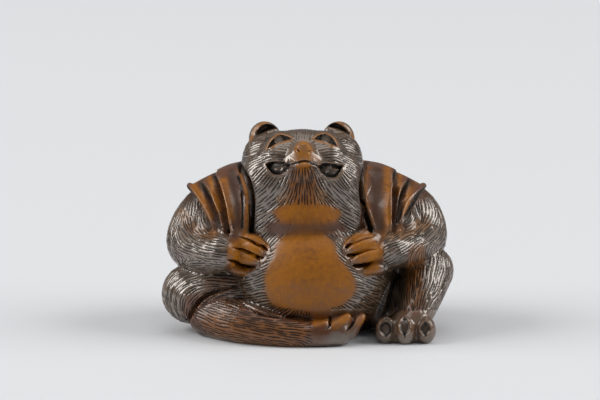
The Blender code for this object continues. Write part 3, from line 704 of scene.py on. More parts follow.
# %% Sink an opening between two curves
def sunk(points, upper, lower, depth, wall, dome=None, behind=12.0):
    """Sink the wood between two curves; dome is (u, v, radius, height)."""
    u, v = drawn(points)
    top, foot = smooth_row(upper, 12), smooth_row(lower, 12)
    high = np.interp(u, top[:, 0], top[:, 1])
    low = np.interp(u, foot[:, 0], foot[:, 1])
    shown = points @ -np.array(SIGHT)
    inside = (u > top[0, 0]) & (u < top[-1, 0]) & (v < high) & (v > low) & (shown > behind)
    rim = np.concatenate([top, foot])
    picked = np.flatnonzero(inside)
    spots = np.stack([u[picked], v[picked]], axis=1)
    gap = np.linalg.norm(spots[:, None, :] - rim[None, :, :], axis=2).min(axis=1)
    sink = depth * np.clip(gap / wall, 0, 1)
    if dome:
        away = np.hypot(spots[:, 0] - dome[0], spots[:, 1] - dome[1]) / dome[2]
        sink -= dome[3] * np.sqrt(np.clip(1 - away**2, 0, 1)) * np.clip(gap / wall, 0, 1)
    points[picked] += np.array(SIGHT) * sink[:, None]
    return len(picked)


def ring_of(upper, lower):
    """Both curves of an opening as one closed row of marks."""
    return [*upper, *lower[-2:0:-1]]


def bead(points, curve, half_width, rise):
    marks = [(u, v, half_width, -rise) for u, v in curve]
    cut(points, laid(on_front, marks), 1.0)


# %% Cut the eyes
EYES = (
    (
        ((-5.7, 25.4), (-5.1, 26.6), (-3.9, 27.45), (-2.9, 27.35), (-2.0, 26.9)),
        ((-5.7, 25.4), (-4.9, 25.8), (-4.0, 26.35), (-3.0, 26.6), (-2.0, 26.9)),
        (-4.0, 26.85, 0.75, 0.6),
    ),
    (
        ((0.9, 26.85), (1.7, 27.4), (2.7, 27.6), (3.8, 26.95), (4.45, 25.8)),
        ((0.9, 26.85), (1.8, 26.65), (2.6, 26.55), (3.5, 26.1), (4.45, 25.8)),
        (2.75, 27.0, 0.75, 0.6),
    ),
)
for upper, lower, dome in EYES:
    bead(points, upper, 0.27, 0.2)
    bead(points, lower, 0.22, 0.12)
    print("eye points:", sunk(points, upper, lower, 0.55, 0.2, dome, behind=6.0))

# %% Chisel the muzzle flat in front and on both sides
def chiselled(points, across, up, facing, reach, depth):
    """Cut the wood flat round a mark of the drawing, the depth below it, facing a given way."""
    centre, _ = on_front(block_tree, across, up)
    facing = np.array(facing) / np.linalg.norm(facing)
    apart = points - np.array(centre)
    rise = apart @ facing + depth
    away = np.linalg.norm(apart - facing * (apart @ facing)[:, None], axis=1) / reach
    over = np.clip(rise, 0, 3) * (1 - ramp(away, 0.8, 1.0)) * (np.abs(rise) < 3)
    points -= facing * over[:, None]


chiselled(points, -0.45, 24.7, (0.0, -0.97, 0.12), 1.6, 0.25)
for side in (-1, 1):
    chiselled(points, -0.45 + side * 2.0, 24.25, (side * 0.42, -0.80, 0.44), 1.3, 0.25)

# %% Cut the open corners of the mouth, and lumps on the tongue in them
MOUTH_CORNERS = (
    (
        ((-5.85, 23.3), (-5.2, 23.6), (-4.2, 23.7), (-3.2, 23.6), (-2.2, 23.15)),
        ((-5.85, 23.3), (-5.4, 22.4), (-4.5, 21.75), (-3.3, 21.95), (-2.2, 23.15)),
        (-4.0, 22.9, 1.5, 0.5),
    ),
    (
        ((1.6, 22.9), (2.5, 23.45), (3.5, 23.4), (4.6, 23.2), (5.25, 23.1)),
        ((1.6, 22.9), (2.2, 21.9), (3.2, 21.3), (4.4, 21.6), (5.25, 23.1)),
        (3.4, 22.5, 1.6, 0.5),
    ),
)
for upper, lower, dome in MOUTH_CORNERS:
    bead(points, lower, 0.3, 0.12)
    print("mouth points:", sunk(points, upper, lower, 1.1, 0.25, dome))
block_tree = look_again()
rng = np.random.default_rng(5)
for upper, lower, dome in MOUTH_CORNERS:
    for _ in range(14):
        across, up = rng.uniform((-1.2, -0.55), (1.2, 0.55)) + dome[:2]
        size = rng.uniform(0.2, 0.4)
        lump = ((across, up, size, -0.1), (across + 0.2, up + 0.1, size * 0.8, -0.18))
        cut(points, laid(on_front, lump, 4), 1.0)

# %% Cut the mouth line and the nostrils
MOUTH_LINE = (
    (-2.3, 23.2, 0.2, 0.4), (-1.5, 23.4, 0.22, 0.5), (-0.45, 23.7, 0.22, 0.5),
    (0.6, 23.55, 0.22, 0.5), (1.2, 23.15, 0.22, 0.5), (1.8, 22.85, 0.2, 0.4),
)
cut(points, laid(on_front, MOUTH_LINE), 1.0)
NOSTRILS = (
    ((-1.65, 25.55, 0.1, 0.1), (-1.2, 25.2, 0.2, 0.35), (-0.85, 24.95, 0.1, 0.1)),
    ((0.8, 25.25, 0.1, 0.1), (0.5, 25.1, 0.2, 0.35), (0.15, 25.05, 0.1, 0.1)),
)
for marks in NOSTRILS:
    cut(points, laid(on_front, marks), 1.0)

# %% Hollow the ears
EARS = (
    (
        ((-7.6, 27.0), (-6.9, 28.4), (-6.0, 29.05), (-5.0, 29.0), (-4.2, 28.5)),
        ((-7.6, 27.0), (-6.8, 27.4), (-5.8, 27.9), (-5.0, 28.2), (-4.2, 28.5)),
    ),
    (
        ((2.9, 28.75), (3.6, 29.15), (4.4, 29.2), (5.4, 28.6), (6.3, 27.6)),
        ((2.9, 28.75), (3.6, 28.5), (4.5, 28.25), (5.4, 27.9), (6.3, 27.6)),
    ),
)
for upper, lower in EARS:
    print("ear points:", sunk(points, upper, lower, 1.0, 0.3, behind=5.0))

# %% [markdown]
# ## Claws
# Each toe of the standing foot ends in a claw that is a leaf shape with a raised rim. One
# formula gives its curves: the height falls with the square root of what is left of the width,
# so the leaf is pointed at the top and the foot and round at its sides.


# %% Cut the claws
def almond(across, up, half_width, half_height):
    """Upper and lower curves of an upright leaf shape, pointed at its top and foot."""
    shares = (-1, -0.9, -0.6, -0.3, 0, 0.3, 0.6, 0.9, 1)
    places = [(across + half_width * s, half_height * math.sqrt(1 - abs(s))) for s in shares]
    return [(u, up + rise) for u, rise in places], [(u, up - rise) for u, rise in places]


CLAW_SIZES = ((11.4, -0.1, 1.15, 1.45), (14.0, 0.05, 0.8, 1.55), (16.95, -0.2, 0.8, 1.15))
CLAWS = [almond(*sizes) for sizes in CLAW_SIZES]
for upper, lower in CLAWS:
    bead(points, upper, 0.2, 0.24)
    bead(points, lower, 0.2, 0.18)
    print("claw points:", sunk(points, upper, lower, 0.4, 0.35))

block_tree = look_again()

# %% [markdown]
# ## Seat and cord channel
# The seat is ground flat so the figure stands by its own weight. Two holes in the back are
# joined inside the block by a bent channel for the cord that hangs the netsuke on a sash.

# %% Sizes and line of the cord channel, in metres
CORD_HOLE_WIDE = 0.0036
CORD_HOLE_NARROW = 0.0028
CORD_HOLE_SPACING = 0.0105
CORD_CHANNEL_DEPTH = 0.0060
CORD_HOLES_ABOVE_SEAT = 0.0105


def minus(mesh, form):
    """The mesh without the closed form, by an exact Boolean."""
    cutter = bpy.data.objects.new("cutter", as_mesh("cutter", form))
    bpy.context.scene.collection.objects.link(cutter)
    cutter.hide_render = True
    cutter.display_type = "WIRE"
    step = ("BOOLEAN", {"operation": "DIFFERENCE", "solver": "EXACT", "object": cutter})
    made = with_modifiers(mesh, step)
    bpy.data.objects.remove(cutter)
    return made


def cord_channel(tree):
    """A bent bore between two holes in the back, wider at one mouth."""
    half = CORD_HOLE_SPACING / 2
    mouths = []
    for side in (-1, 1):
        point, _ = on_back(tree, side * half / U, CORD_HOLES_ABOVE_SEAT / U)
        mouths.append(point * U)
    deepest = (mouths[0] + mouths[1]) / 2 - Vector((0.0, CORD_CHANNEL_DEPTH, 0.0))
    stations = []
    for share in np.linspace(-0.25, 1.25, 25):
        start = mouths[0].lerp(deepest, share)
        end = deepest.lerp(mouths[1], share)
        radius = (CORD_HOLE_WIDE * (1 - share) + CORD_HOLE_NARROW * share) / 2
        stations.append((start.lerp(end, share), radius))
    return stations


# %% Cut the seat and the cord channel
channel = cord_channel(block_tree)
bore = bmesh.new()
rings = []
for k, (centre, radius) in enumerate(channel):
    ahead = channel[min(k + 1, len(channel) - 1)][0] - channel[max(k - 1, 0)][0]
    turn = Matrix.Translation(centre) @ ahead.to_track_quat("Z", "X").to_matrix().to_4x4()
    made = bmesh.ops.create_circle(bore, segments=48, radius=radius, matrix=turn)
    rings.append(made["verts"])


def edges_of(ring):
    return [edge for edge in bore.edges if all(vertex in ring for vertex in edge.verts)]


for near, far in zip(rings[:-1], rings[1:]):
    bmesh.ops.bridge_loops(bore, edges=edges_of(near) + edges_of(far))
for ring in (rings[0], rings[-1]):
    bmesh.ops.contextual_create(bore, geom=edges_of(ring))
bmesh.ops.recalc_face_normals(bore, faces=bore.faces)
below = bmesh.new()
slab = Matrix.LocRotScale(Vector((0, 0, -4.0)) * U, None, Vector((80, 80, 8)) * U)
bmesh.ops.create_cube(below, size=1.0, matrix=slab)
skin = minus(minus(skin, below), bore)
print("block with seat and channel:", len(skin.vertices), "vertices")

# %% [markdown]
# ## Where hair grows
# Hair lines cover all but the places that a carver leaves smooth: jacket, paws, claws, muzzle,
# eyes, ears, and the worn patches of chest and belly. Each place is a soft region of the front
# drawing, given by marks round its edge.


# %% Soft regions of the drawing
def region(points, marks, soft):
    """1 inside the closed row of marks on the front, falling to 0 across its soft edge."""
    u, v = drawn(points)
    marks = np.array(marks)
    centre = marks.mean(axis=0)
    ring = smooth_row(np.vstack([marks, marks[:1]]), 6) - centre
    angle = np.arctan2(ring[:, 1], ring[:, 0])
    order = angle.argsort()
    reach = np.hypot(ring[:, 0], ring[:, 1])[order]
    asked = np.arctan2(v - centre[1], u - centre[0])
    edge = np.interp(asked, angle[order], reach, period=2 * math.pi)
    away = np.hypot(u - centre[0], v - centre[1]) - edge
    return (1 - ramp(away, -soft, soft)) * (points[:, 1] < 1.5)


def strip(points, marks, half_width):
    """1 along an open row of marks on the front, falling softly to 0 at the half width."""
    u, v = drawn(points)
    line = smooth_row(marks, 8)
    near = np.flatnonzero(
        (u > line[:, 0].min() - half_width)
        & (u < line[:, 0].max() + half_width)
        & (v > line[:, 1].min() - half_width)
        & (v < line[:, 1].max() + half_width)
        & (points[:, 1] < 3.0)
    )
    spots = np.stack([u[near], v[near]], axis=1)
    gap = np.linalg.norm(spots[:, None, :] - line[None, :, :], axis=2).min(axis=1)
    found = np.zeros(len(points))
    found[near] = 1 - ramp(gap / half_width, 0.5, 1.0)
    return found


BELLY = (
    (-1.5, 13.8), (-3.2, 13.0), (-4.4, 11.8), (-4.8, 10.2), (-5.6, 8.8), (-6.0, 7.2), (-5.9, 5.4),
    (-5.6, 4.2), (-4.6, 3.1), (-2.6, 2.6), (0.4, 2.3), (3.2, 2.6), (5.0, 3.2), (6.4, 4.3),
    (7.0, 5.6), (6.7, 7.2), (5.9, 8.6), (4.8, 9.9), (4.1, 11.6), (3.2, 12.9), (1.5, 13.8),
)
CHEST = (
    (-4.8, 16.6), (-3.4, 17.4), (-1.2, 17.6), (1.4, 17.6), (3.4, 17.3), (4.8, 16.4), (4.0, 15.2),
    (1.8, 14.6), (-1.2, 14.6), (-3.6, 15.1),
)
MUZZLE = (
    (-3.5, 23.6), (-2.6, 24.8), (-2.0, 26.0), (-1.3, 26.6), (-0.4, 26.8), (0.6, 26.5), (1.2, 25.5),
    (2.0, 24.6), (2.9, 23.7), (1.8, 22.7), (0.9, 23.0), (-0.5, 22.8), (-2.2, 22.8),
)
EYE_REGIONS = (
    (
        (-6.1, 25.2), (-5.4, 26.8), (-3.9, 27.8), (-2.8, 27.7), (-1.7, 27.0), (-2.8, 26.3),
        (-4.0, 25.9), (-4.9, 25.4),
    ),
    (
        (0.6, 27.0), (1.6, 27.8), (2.7, 27.9), (4.1, 27.2), (4.8, 25.5), (3.6, 25.7), (2.6, 26.2),
        (1.7, 26.3),
    ),
)
PAW_REGIONS = (
    (
        (-11.3, 12.5), (-10.2, 13.5), (-8.4, 13.7), (-6.6, 12.9), (-5.2, 11.4), (-5.6, 9.8),
        (-7.0, 8.5), (-8.4, 7.2), (-10.4, 7.5), (-11.6, 8.6), (-11.3, 10.6),
    ),
    (
        (11.0, 12.8), (9.6, 13.8), (8.0, 13.7), (6.2, 12.9), (5.1, 11.6), (5.5, 9.9), (6.6, 8.6),
        (7.8, 7.3), (9.8, 7.1), (11.0, 8.2), (10.9, 10.5),
    ),
)
POCKET_REGIONS = (
    (
        (-6.1, 23.4), (-5.2, 23.9), (-4.0, 23.9), (-2.6, 23.6), (-1.9, 23.1), (-2.9, 21.9),
        (-4.0, 21.5), (-5.3, 21.9),
    ),
    (
        (1.3, 22.9), (2.5, 23.6), (3.6, 23.6), (5.5, 23.3), (5.1, 21.9), (4.2, 21.1), (3.0, 21.0),
        (1.9, 21.9),
    ),
)


# %% How much hair each point carries
def united(amounts):
    """Soft union of several amounts between 0 and 1."""
    bare = 1.0
    for amount in amounts:
        bare = bare * (1 - amount)
    return 1 - bare


def near_mesh(points, tree, limit, asked):
    """Which of the asked points lie within the limit of a mesh."""
    found = np.zeros(len(points), bool)
    for k in np.flatnonzero(asked):
        found[k] = tree.find_nearest(Vector(points[k]) * U, limit * U)[0] is not None
    return found


points = coordinates(skin)
normals = normals_of(skin)
u, v = drawn(points)
x, y, z = points.T
wide = np.abs(x)
at_neck = (wide > 7.6) & (wide < 10.0) & (v > 13.5) & (y < 4.0)
at_back = (y > 7.5) & (z < 22.0) & (z > 2.4)
cloth = near_mesh(points, jacket_tree, 0.35, (wide > 7.5) | (y > 3.0))
cloth |= near_mesh(points, jacket_tree, 0.9, at_neck)
cloth |= near_mesh(points, jacket_tree, 1.8, at_back)
paw = united([region(points, marks, 0.15) for marks in PAW_REGIONS])
foot = ramp(u, -1.0, 1.8) * ((y < -9.5) & (v < 2.6) & (u < 9.0))
toes = (y < -6.0) & (v < 2.4) & (u > 9.0)
ear = (z > 26.6) & (y > -1.2) & (y < 2.4) & (np.abs(u + 0.7) > 3.6)
belly, chest = region(points, BELLY, 0.5), region(points, CHEST, 0.5)
muzzle = region(points, MUZZLE, 0.12)
fur = (1 - belly) * (1 - chest) * (1 - muzzle)
for marks in EYE_REGIONS + POCKET_REGIONS:
    fur *= 1 - region(points, marks, 0.1)
fur *= (1 - paw) * (1 - foot) * ~(cloth | toes | ear)
fur *= ramp(z, 0.1, 0.5)
neck_gap = np.zeros(len(points))
for marks in COLLAR_EDGES:
    neck_gap += strip(points, [row[:2] for row in marks], 0.8)
fur *= 1 - neck_gap
print("share of the skin with hair:", round(float((fur > 0.5).mean()), 3))

# %% [markdown]
# ## Stain and wear
# The whole figure was stained nearly black brown. Handling then took the stain off the places
# that fingers touch: belly, chest, muzzle, eyelids, paws, and the edges of the jacket. There the
# yellow of the boxwood shows through. The legs and the jacket kept a redder brown. Each amount is
# kept at the points of the skin, so the colour follows the carving and not a flat picture.
#
# A place is a closed row of marks with the softness of its edge and its share, or an open row
# with its half width and its share.

# %% Worn places
PLATE = (
    (-1.95, 24.0), (-1.85, 24.9), (-1.6, 25.7), (-1.2, 26.3), (-0.5, 26.6), (0.3, 26.3),
    (0.75, 25.6), (0.95, 24.9), (1.05, 24.0), (0.3, 23.75), (-0.6, 23.85), (-1.3, 23.75),
)
LIP = (
    (-1.5, 23.1), (-0.9, 23.45), (-0.5, 23.65), (0.2, 23.4), (0.7, 23.0), (0.4, 22.5), (-0.5, 22.2),
    (-1.2, 22.5),
)
THROAT = (
    (-1.4, 23.0), (-0.5, 23.3), (0.6, 23.0), (1.5, 21.6), (2.4, 19.6), (4.2, 17.9), (0.0, 17.4),
    (-4.6, 17.9), (-2.8, 19.8), (-2.0, 21.6),
)
WORN_REGIONS = (
    (BELLY, 0.9, 0.82),
    (CHEST, 0.9, 0.85),
    (PLATE, 0.12, 1.0),
    (LIP, 0.15, 0.75),
    (THROAT, 0.6, 0.35),
)
WORN_STRIPS = (
    (((-5.7, 25.4), (-5.1, 26.7), (-3.9, 27.55), (-2.9, 27.45), (-2.0, 27.0)), 0.18, 0.9),
    (((-5.0, 25.7), (-4.0, 26.2), (-3.0, 26.5), (-2.2, 26.7)), 0.17, 0.8),
    (((0.9, 26.95), (1.7, 27.5), (2.7, 27.7), (3.9, 27.0), (4.45, 25.9)), 0.18, 0.9),
    (((1.2, 26.65), (2.2, 26.5), (3.4, 26.0), (4.0, 25.8)), 0.17, 0.8),
    (
        ((-8.0, 26.7), (-7.5, 28.2), (-6.7, 29.0), (-5.7, 29.4), (-4.8, 29.3), (-4.2, 28.7)),
        0.2,
        0.9,
    ),
    (((3.0, 29.2), (4.0, 29.5), (5.1, 29.1), (6.1, 28.2), (6.8, 27.0)), 0.2, 0.9),
    (((-11.9, 20.8), (-11.3, 18.4), (-10.8, 15.5)), 0.8, 0.9),
    (((-13.7, 21.2), (-13.2, 19.2), (-12.5, 17.0)), 0.65, 0.95),
    (((-16.2, 20.2), (-15.0, 18.2), (-13.9, 15.8)), 0.65, 0.95),
    (((-9.7, 22.4), (-8.6, 19.6), (-8.35, 16.6), (-8.5, 14.0)), 0.28, 0.9),
    (((8.6, 22.8), (8.3, 20.2), (8.6, 17.4), (9.4, 14.8)), 0.4, 0.8),
    (((11.6, 22.6), (11.6, 19.0), (11.5, 15.0)), 0.7, 0.9),
    (((13.4, 22.0), (13.1, 20.4), (13.0, 19.2)), 0.65, 0.9),
    (((15.4, 20.6), (14.7, 19.0), (14.0, 16.4)), 0.65, 0.9),
    (((-9.5, 10.8), (-8.2, 10.9)), 2.3, 0.97),
    (((-8.8, 12.9), (-7.2, 12.5), (-6.0, 11.6)), 0.9, 0.9),
    (((-10.2, 8.6), (-9.0, 8.0)), 0.9, 0.8),
    (((9.3, 10.9), (8.0, 10.9)), 2.3, 0.9),
    (((8.8, 13.0), (7.0, 12.7), (5.9, 12.0)), 0.9, 0.9),
    (((9.8, 8.6), (8.6, 8.0)), 0.9, 0.8),
    (((1.4, 0.7), (2.8, 1.0)), 0.8, 0.7),
    (((4.0, 0.3), (5.8, 1.5)), 0.8, 0.8),
    (((7.4, 0.6), (8.1, 1.5)), 0.6, 0.6),
    (((-13.0, 0.4), (-8.0, -0.8), (-2.0, -1.2)), 2.4, 0.35),
    (((15.9, 10.9), (15.4, 7.0), (15.4, 4.0)), 1.6, 0.3),
    (((11.5, 13.4), (14.0, 13.6), (17.0, 14.8)), 1.3, 0.35),
    (((-17.8, 16.2), (-16.6, 14.4), (-13.6, 13.2)), 1.1, 0.35),
)

# %% Redder and darker places
RED_STRIPS = (
    (((-15.4, 2.4), (-10.0, 0.8), (-4.0, 0.0), (1.0, 0.0)), 3.4, 0.9),
    (((-13.0, 5.6), (-10.4, 5.8)), 2.0, 0.5),
    (((15.6, 10.6), (15.4, 7.0), (15.6, 3.0)), 1.8, 0.6),
    (((10.8, 0.4), (14.0, 0.6), (17.2, 0.4)), 2.6, 0.3),
    (((2.0, 0.4), (5.0, 0.6), (8.0, 0.6)), 2.0, 0.7),
    (((-0.6, 21.4), (-0.6, 18.6)), 2.6, 0.9),
    (((-3.0, 16.0), (3.0, 16.0)), 2.2, 0.9),
    (((-15.6, 19.8), (-12.8, 20.4), (-10.6, 20.6)), 3.2, 0.8),
    (((-13.4, 17.0), (-11.4, 16.4), (-10.0, 16.4)), 2.6, 0.8),
    (((15.6, 19.8), (12.8, 20.8), (9.8, 21.2)), 3.2, 0.8),
    (((13.4, 17.4), (11.4, 16.8), (10.0, 16.8)), 2.6, 0.8),
    (((-4.8, 14.2), (4.4, 14.2)), 1.6, 0.9),
)
DARK_STRIPS = (
    (((-10.6, 22.0), (-10.2, 18.0), (-9.9, 14.5)), 0.9, 0.6),
    (((10.1, 22.0), (10.0, 18.0), (10.5, 14.5)), 1.2, 0.6),
    (((10.8, 0.2), (14.0, 0.2), (17.4, 0.2)), 2.4, 0.15),
    # Darker along the lower edge of the folded foot's toes.
    (((2.0, -0.6), (7.5, -0.6)), 1.6, 0.35),
    # Painted shade down the inner side of the raised leg.
    (((13.4, 9.4), (13.0, 6.0), (12.0, 2.0)), 1.6, 0.4),
    # Stain in the crease between the raised leg and the belly, darkened further as painted shade.
    (((12.0, 6.8), (11.5, 4.6), (10.8, 2.0)), 0.9, 0.7),
    # Darker across the forehead.
    (((-4.5, 28.3), (3.4, 28.3)), 1.6, 0.25),
    (((-4.8, 14.0), (4.4, 14.0)), 1.3, 0.4),
)


def regions(table):
    return united([region(points, marks, soft) * share for marks, soft, share in table])


def strips(table):
    return united([strip(points, marks, half) * share for marks, half, share in table])


# %% Gather the amounts of wear and of red
rear = y > 8.0
from_hole = np.hypot(wide - CORD_HOLE_SPACING / 2 / U, z - CORD_HOLES_ABOVE_SEAT / U)
near_hole = rear * (1 - ramp(from_hole, 1.9, 3.2))
rubbed = rear * (1 - ramp(np.hypot(x / 11, (z - 13) / 8), 0.4, 1.0))
worn = united([regions(WORN_REGIONS), strips(WORN_STRIPS), near_hole * 0.5, rubbed * 0.3])
red = united([strips(RED_STRIPS), cloth * 0.75, belly * 0.9, chest * 0.9, paw * 0.6])

# %% Gather what is dark: stain never rubbed out of the hollows, and painted shade in the deep gaps and down the raised leg
# neck_gap puts stain in the gap between collar and neck, darkened further as painted shade.
dark = united([strips(DARK_STRIPS), neck_gap * 0.8])
# The slits of the jacket folds hold stain and are darkened further as painted shade.
for marks in JACKET_FOLDS:
    side = -1 if marks[0][0] < 0 else 1
    valley = [(row[0] + 0.25 * side, row[1]) for row in marks]
    dark = united([dark, strip(points, valley, 0.55) * 0.7])
# The mouth corners hold dark stain, darkest round their rims as painted shade, lighter on the tongue.
for upper, lower, dome in MOUTH_CORNERS:
    tongue = 1 - ramp(np.hypot((u - dome[0]) / 1.3, (v - dome[1]) / 0.75), 0.6, 1.1)
    pocket = region(points, ring_of(upper, lower), 0.12)
    dark = united([dark, pocket * (0.9 - 0.65 * tongue)])
for upper, lower in CLAWS:
    dark = united([dark, region(points, ring_of(upper, lower), 0.1) * 0.5])
for across, up in STITCHES:
    stitch = ((across, up + 0.14), (across, up - 0.14))
    dark = united([dark, strip(points, stitch, 0.24) * 0.9])
for upper, lower, _ in EYES:
    dark = united([dark, region(points, ring_of(upper, lower), 0.05) * 0.7])
in_front = points @ -np.array(SIGHT) > 4.9
for upper, lower in EARS:
    dark = united([dark, region(points, ring_of(upper, lower), 0.2) * in_front * 0.7])

# %% [markdown]
# ## The lie of the hair
# Guide lines say which way the hair lies: out from the muzzle over the cheeks, down the
# throat, outward round the belly, along the arms, and round the knees. Between the guides the
# direction is a weighted mean, so neighbouring lines stay nearly parallel as in the carving.

# %% Guide lines of the front drawing
FRONT_GUIDES = (
    ((-3.2, 24.9), (-5.0, 25.0), (-7.0, 24.6), (-8.6, 23.8)),
    ((-6.2, 23.9), (-7.3, 23.4), (-8.8, 22.2)),
    ((-6.0, 22.3), (-7.1, 21.2), (-8.2, 20.2)),
    ((-4.8, 21.4), (-6.0, 19.9), (-7.4, 18.5)),
    ((-3.6, 21.4), (-4.8, 19.6), (-6.2, 17.9)),
    ((-2.4, 22.1), (-3.4, 19.8), (-4.9, 17.6)),
    ((-1.4, 22.3), (-1.9, 20.0), (-2.4, 17.8)),
    ((-0.6, 22.4), (-0.6, 20.0), (-0.6, 18.0)),
    ((2.0, 24.9), (3.8, 25.0), (5.8, 24.6), (7.4, 23.8)),
    ((5.6, 23.6), (6.6, 23.0), (7.8, 22.0)),
    ((5.4, 22.0), (6.4, 21.0), (7.4, 20.2)),
    ((4.4, 21.0), (5.4, 19.7), (6.6, 18.6)),
    ((2.9, 20.8), (4.0, 19.3), (5.4, 17.8)),
    ((1.4, 22.0), (2.4, 19.8), (3.9, 17.6)),
    ((0.2, 22.3), (0.7, 20.0), (1.2, 17.8)),
    ((-0.6, 26.9), (-0.6, 28.0)),
    ((-2.4, 27.5), (-2.8, 28.0)),
    ((1.4, 27.6), (1.8, 28.0)),
    ((-5.8, 26.6), (-7.0, 26.6), (-8.2, 25.8)),
    ((4.8, 26.6), (6.0, 26.5), (7.2, 25.6)),
    ((-4.6, 18.2), (-6.0, 17.2), (-7.5, 16.3)),
    ((-4.4, 16.0), (-5.9, 14.7), (-7.5, 13.4)),
    ((-3.8, 14.0), (-5.2, 12.6), (-6.2, 11.4)),
    ((4.4, 18.2), (5.6, 17.1), (7.5, 15.8)),
    ((4.8, 15.8), (6.6, 14.7), (8.4, 13.7)),
    ((3.9, 14.0), (5.2, 12.7), (6.2, 11.4)),
    ((-5.0, 9.2), (-7.2, 8.2), (-9.0, 7.6)),
    ((-5.8, 7.6), (-8.0, 7.0), (-10.2, 6.3)),
    ((-5.8, 5.9), (-8.0, 5.5), (-10.2, 5.2)),
    ((-5.7, 4.5), (-7.6, 4.3), (-9.6, 4.2)),
    ((6.6, 7.6), (9.0, 7.1), (11.0, 6.2)),
    ((7.0, 6.1), (9.0, 5.7), (11.2, 4.9)),
    ((6.8, 4.5), (9.0, 3.7), (11.0, 2.7)),
    ((6.0, 3.4), (7.6, 2.3), (8.6, 1.3)),
    ((-3.0, 2.6), (-4.0, 1.7)),
    ((0.4, 2.4), (0.4, 1.6)),
    ((3.0, 2.6), (3.6, 1.8)),
    ((-16.8, 19.0), (-17.4, 17.0), (-17.6, 15.2), (-16.6, 13.5), (-14.4, 12.5), (-11.6, 11.9)),
    ((-18.4, 16.0), (-19.4, 13.6), (-18.6, 11.6), (-16.0, 10.6), (-13.2, 10.2), (-11.4, 10.0)),
    ((-14.9, 17.0), (-15.3, 15.4), (-14.8, 14.2), (-13.2, 13.3), (-11.8, 12.9)),
    ((17.4, 19.0), (18.4, 17.0), (18.3, 15.3), (16.4, 13.7), (13.6, 12.2), (11.4, 11.2)),
    ((19.0, 16.5), (19.6, 14.4), (18.4, 12.9), (15.6, 11.4), (12.8, 10.0), (11.2, 9.2)),
    ((15.3, 17.6), (15.9, 16.0), (15.2, 14.7), (13.2, 13.4), (11.8, 12.6)),
    ((-11.0, 8.2), (-14.0, 8.9), (-17.0, 8.8), (-19.2, 7.4)),
    ((-9.8, 7.1), (-13.0, 7.7), (-16.4, 7.5), (-18.9, 6.0), (-19.6, 4.2), (-18.9, 2.4)),
    ((-10.4, 5.9), (-13.4, 6.1), (-16.2, 5.7), (-18.0, 4.4), (-18.3, 2.8), (-17.8, 1.2)),
    ((-13.4, 5.1), (-15.0, 4.7), (-16.6, 3.6), (-17.2, 2.2), (-17.2, 1.0)),
    ((-15.4, 3.3), (-12.0, 2.8), (-8.0, 1.8), (-4.0, 1.1), (-0.5, 0.9)),
    ((-16.0, 2.0), (-12.4, 0.9), (-8.0, 0.0), (-3.6, -0.4), (0.4, -0.6)),
    ((-15.0, 0.6), (-12.0, -0.5), (-8.0, -1.2), (-3.0, -1.6)),
    ((15.0, 10.4), (14.9, 7.5), (14.8, 4.5), (15.1, 2.6)),
    ((16.8, 11.2), (16.8, 8.5), (16.2, 5.0), (15.8, 2.7)),
    ((18.6, 11.0), (18.6, 8.0), (17.6, 5.0), (16.6, 2.7)),
    ((20.0, 9.4), (20.0, 7.4), (19.2, 5.2), (17.6, 3.2)),
)

# %% Guide lines of the sides and the nape, as points in space
ROUND_GUIDES = (
    ((-0.6, -3.6, 29.2), (-0.6, 1.0, 29.0), (-0.6, 5.0, 27.0), (-0.6, 7.5, 24.0)),
    ((-4.6, -1.0, 28.5), (-5.2, 3.0, 27.0), (-5.4, 6.0, 24.0)),
    ((3.4, -1.0, 28.5), (4.0, 3.0, 27.0), (4.2, 6.0, 24.0)),
    ((-8.6, -4.0, 25.0), (-9.3, -1.0, 24.4), (-8.6, 3.0, 23.6), (-7.0, 6.0, 22.8)),
    ((7.4, -4.0, 25.0), (8.1, -1.0, 24.4), (7.4, 3.0, 23.6), (5.8, 6.0, 22.8)),
    ((-15.5, 5.5, 17.0), (-18.2, 4.5, 14.5), (-19.8, 1.0, 12.4), (-18.6, -3.4, 10.4)),
    ((15.5, 5.5, 17.0), (18.4, 4.5, 14.8), (20.0, 1.0, 12.8), (18.6, -3.4, 11.2)),
    ((-15.5, 6.0, 13.0), (-17.6, 4.5, 10.5), (-17.6, 1.0, 9.6)),
    ((15.5, 6.0, 13.0), (17.6, 4.5, 11.0), (17.6, 1.0, 10.4)),
    ((-13.0, 5.0, 9.0), (-16.6, 4.4, 7.6), (-19.8, 1.4, 5.8), (-20.8, -2.6, 4.6)),
    ((-13.0, 6.0, 3.0), (-16.6, 4.4, 2.6), (-19.4, 1.0, 2.0), (-19.8, -3.0, 2.0)),
    ((13.0, 7.0, 9.0), (18.0, 4.0, 9.4), (20.8, -1.6, 9.0), (20.2, -5.4, 7.0)),
    ((13.5, 8.0, 4.0), (18.0, 4.6, 4.4), (19.6, -1.0, 4.4), (18.0, -6.0, 3.4)),
)


# %% Short arrows along the guide lines
def guide_samples(mesh_tree):
    """Rows of point, normal and direction along every guide line."""
    rows = []
    for guide in FRONT_GUIDES:
        line = smooth_row(guide, 6)
        for across, up in line:
            rows.append([list(part) for part in on_front(mesh_tree, across, up)])
        rows.append(None)
    for guide in ROUND_GUIDES:
        for place in smooth_row(guide, 8):
            hit, normal, _, _ = mesh_tree.find_nearest(Vector(place) * U)
            rows.append([list(hit / U), list(normal)])
        rows.append(None)
    samples = []
    for before, after in zip(rows[:-1], rows[1:]):
        if before is None or after is None:
            continue
        ahead = np.array(after[0]) - before[0]
        length = np.linalg.norm(ahead)
        if 0.02 < length < 3.0:
            samples.append((*before[0], *before[1], *(ahead / length)))
    return np.array(samples)


hair_tree = tree_of(skin)
guides = guide_samples(hair_tree)
print("guide samples:", len(guides))


# %% The lie of the hair at any point
WAVES = ((1.1, 0.7, 1.4), (0.8, -1.2, 0.9))
WANDER = 0.15


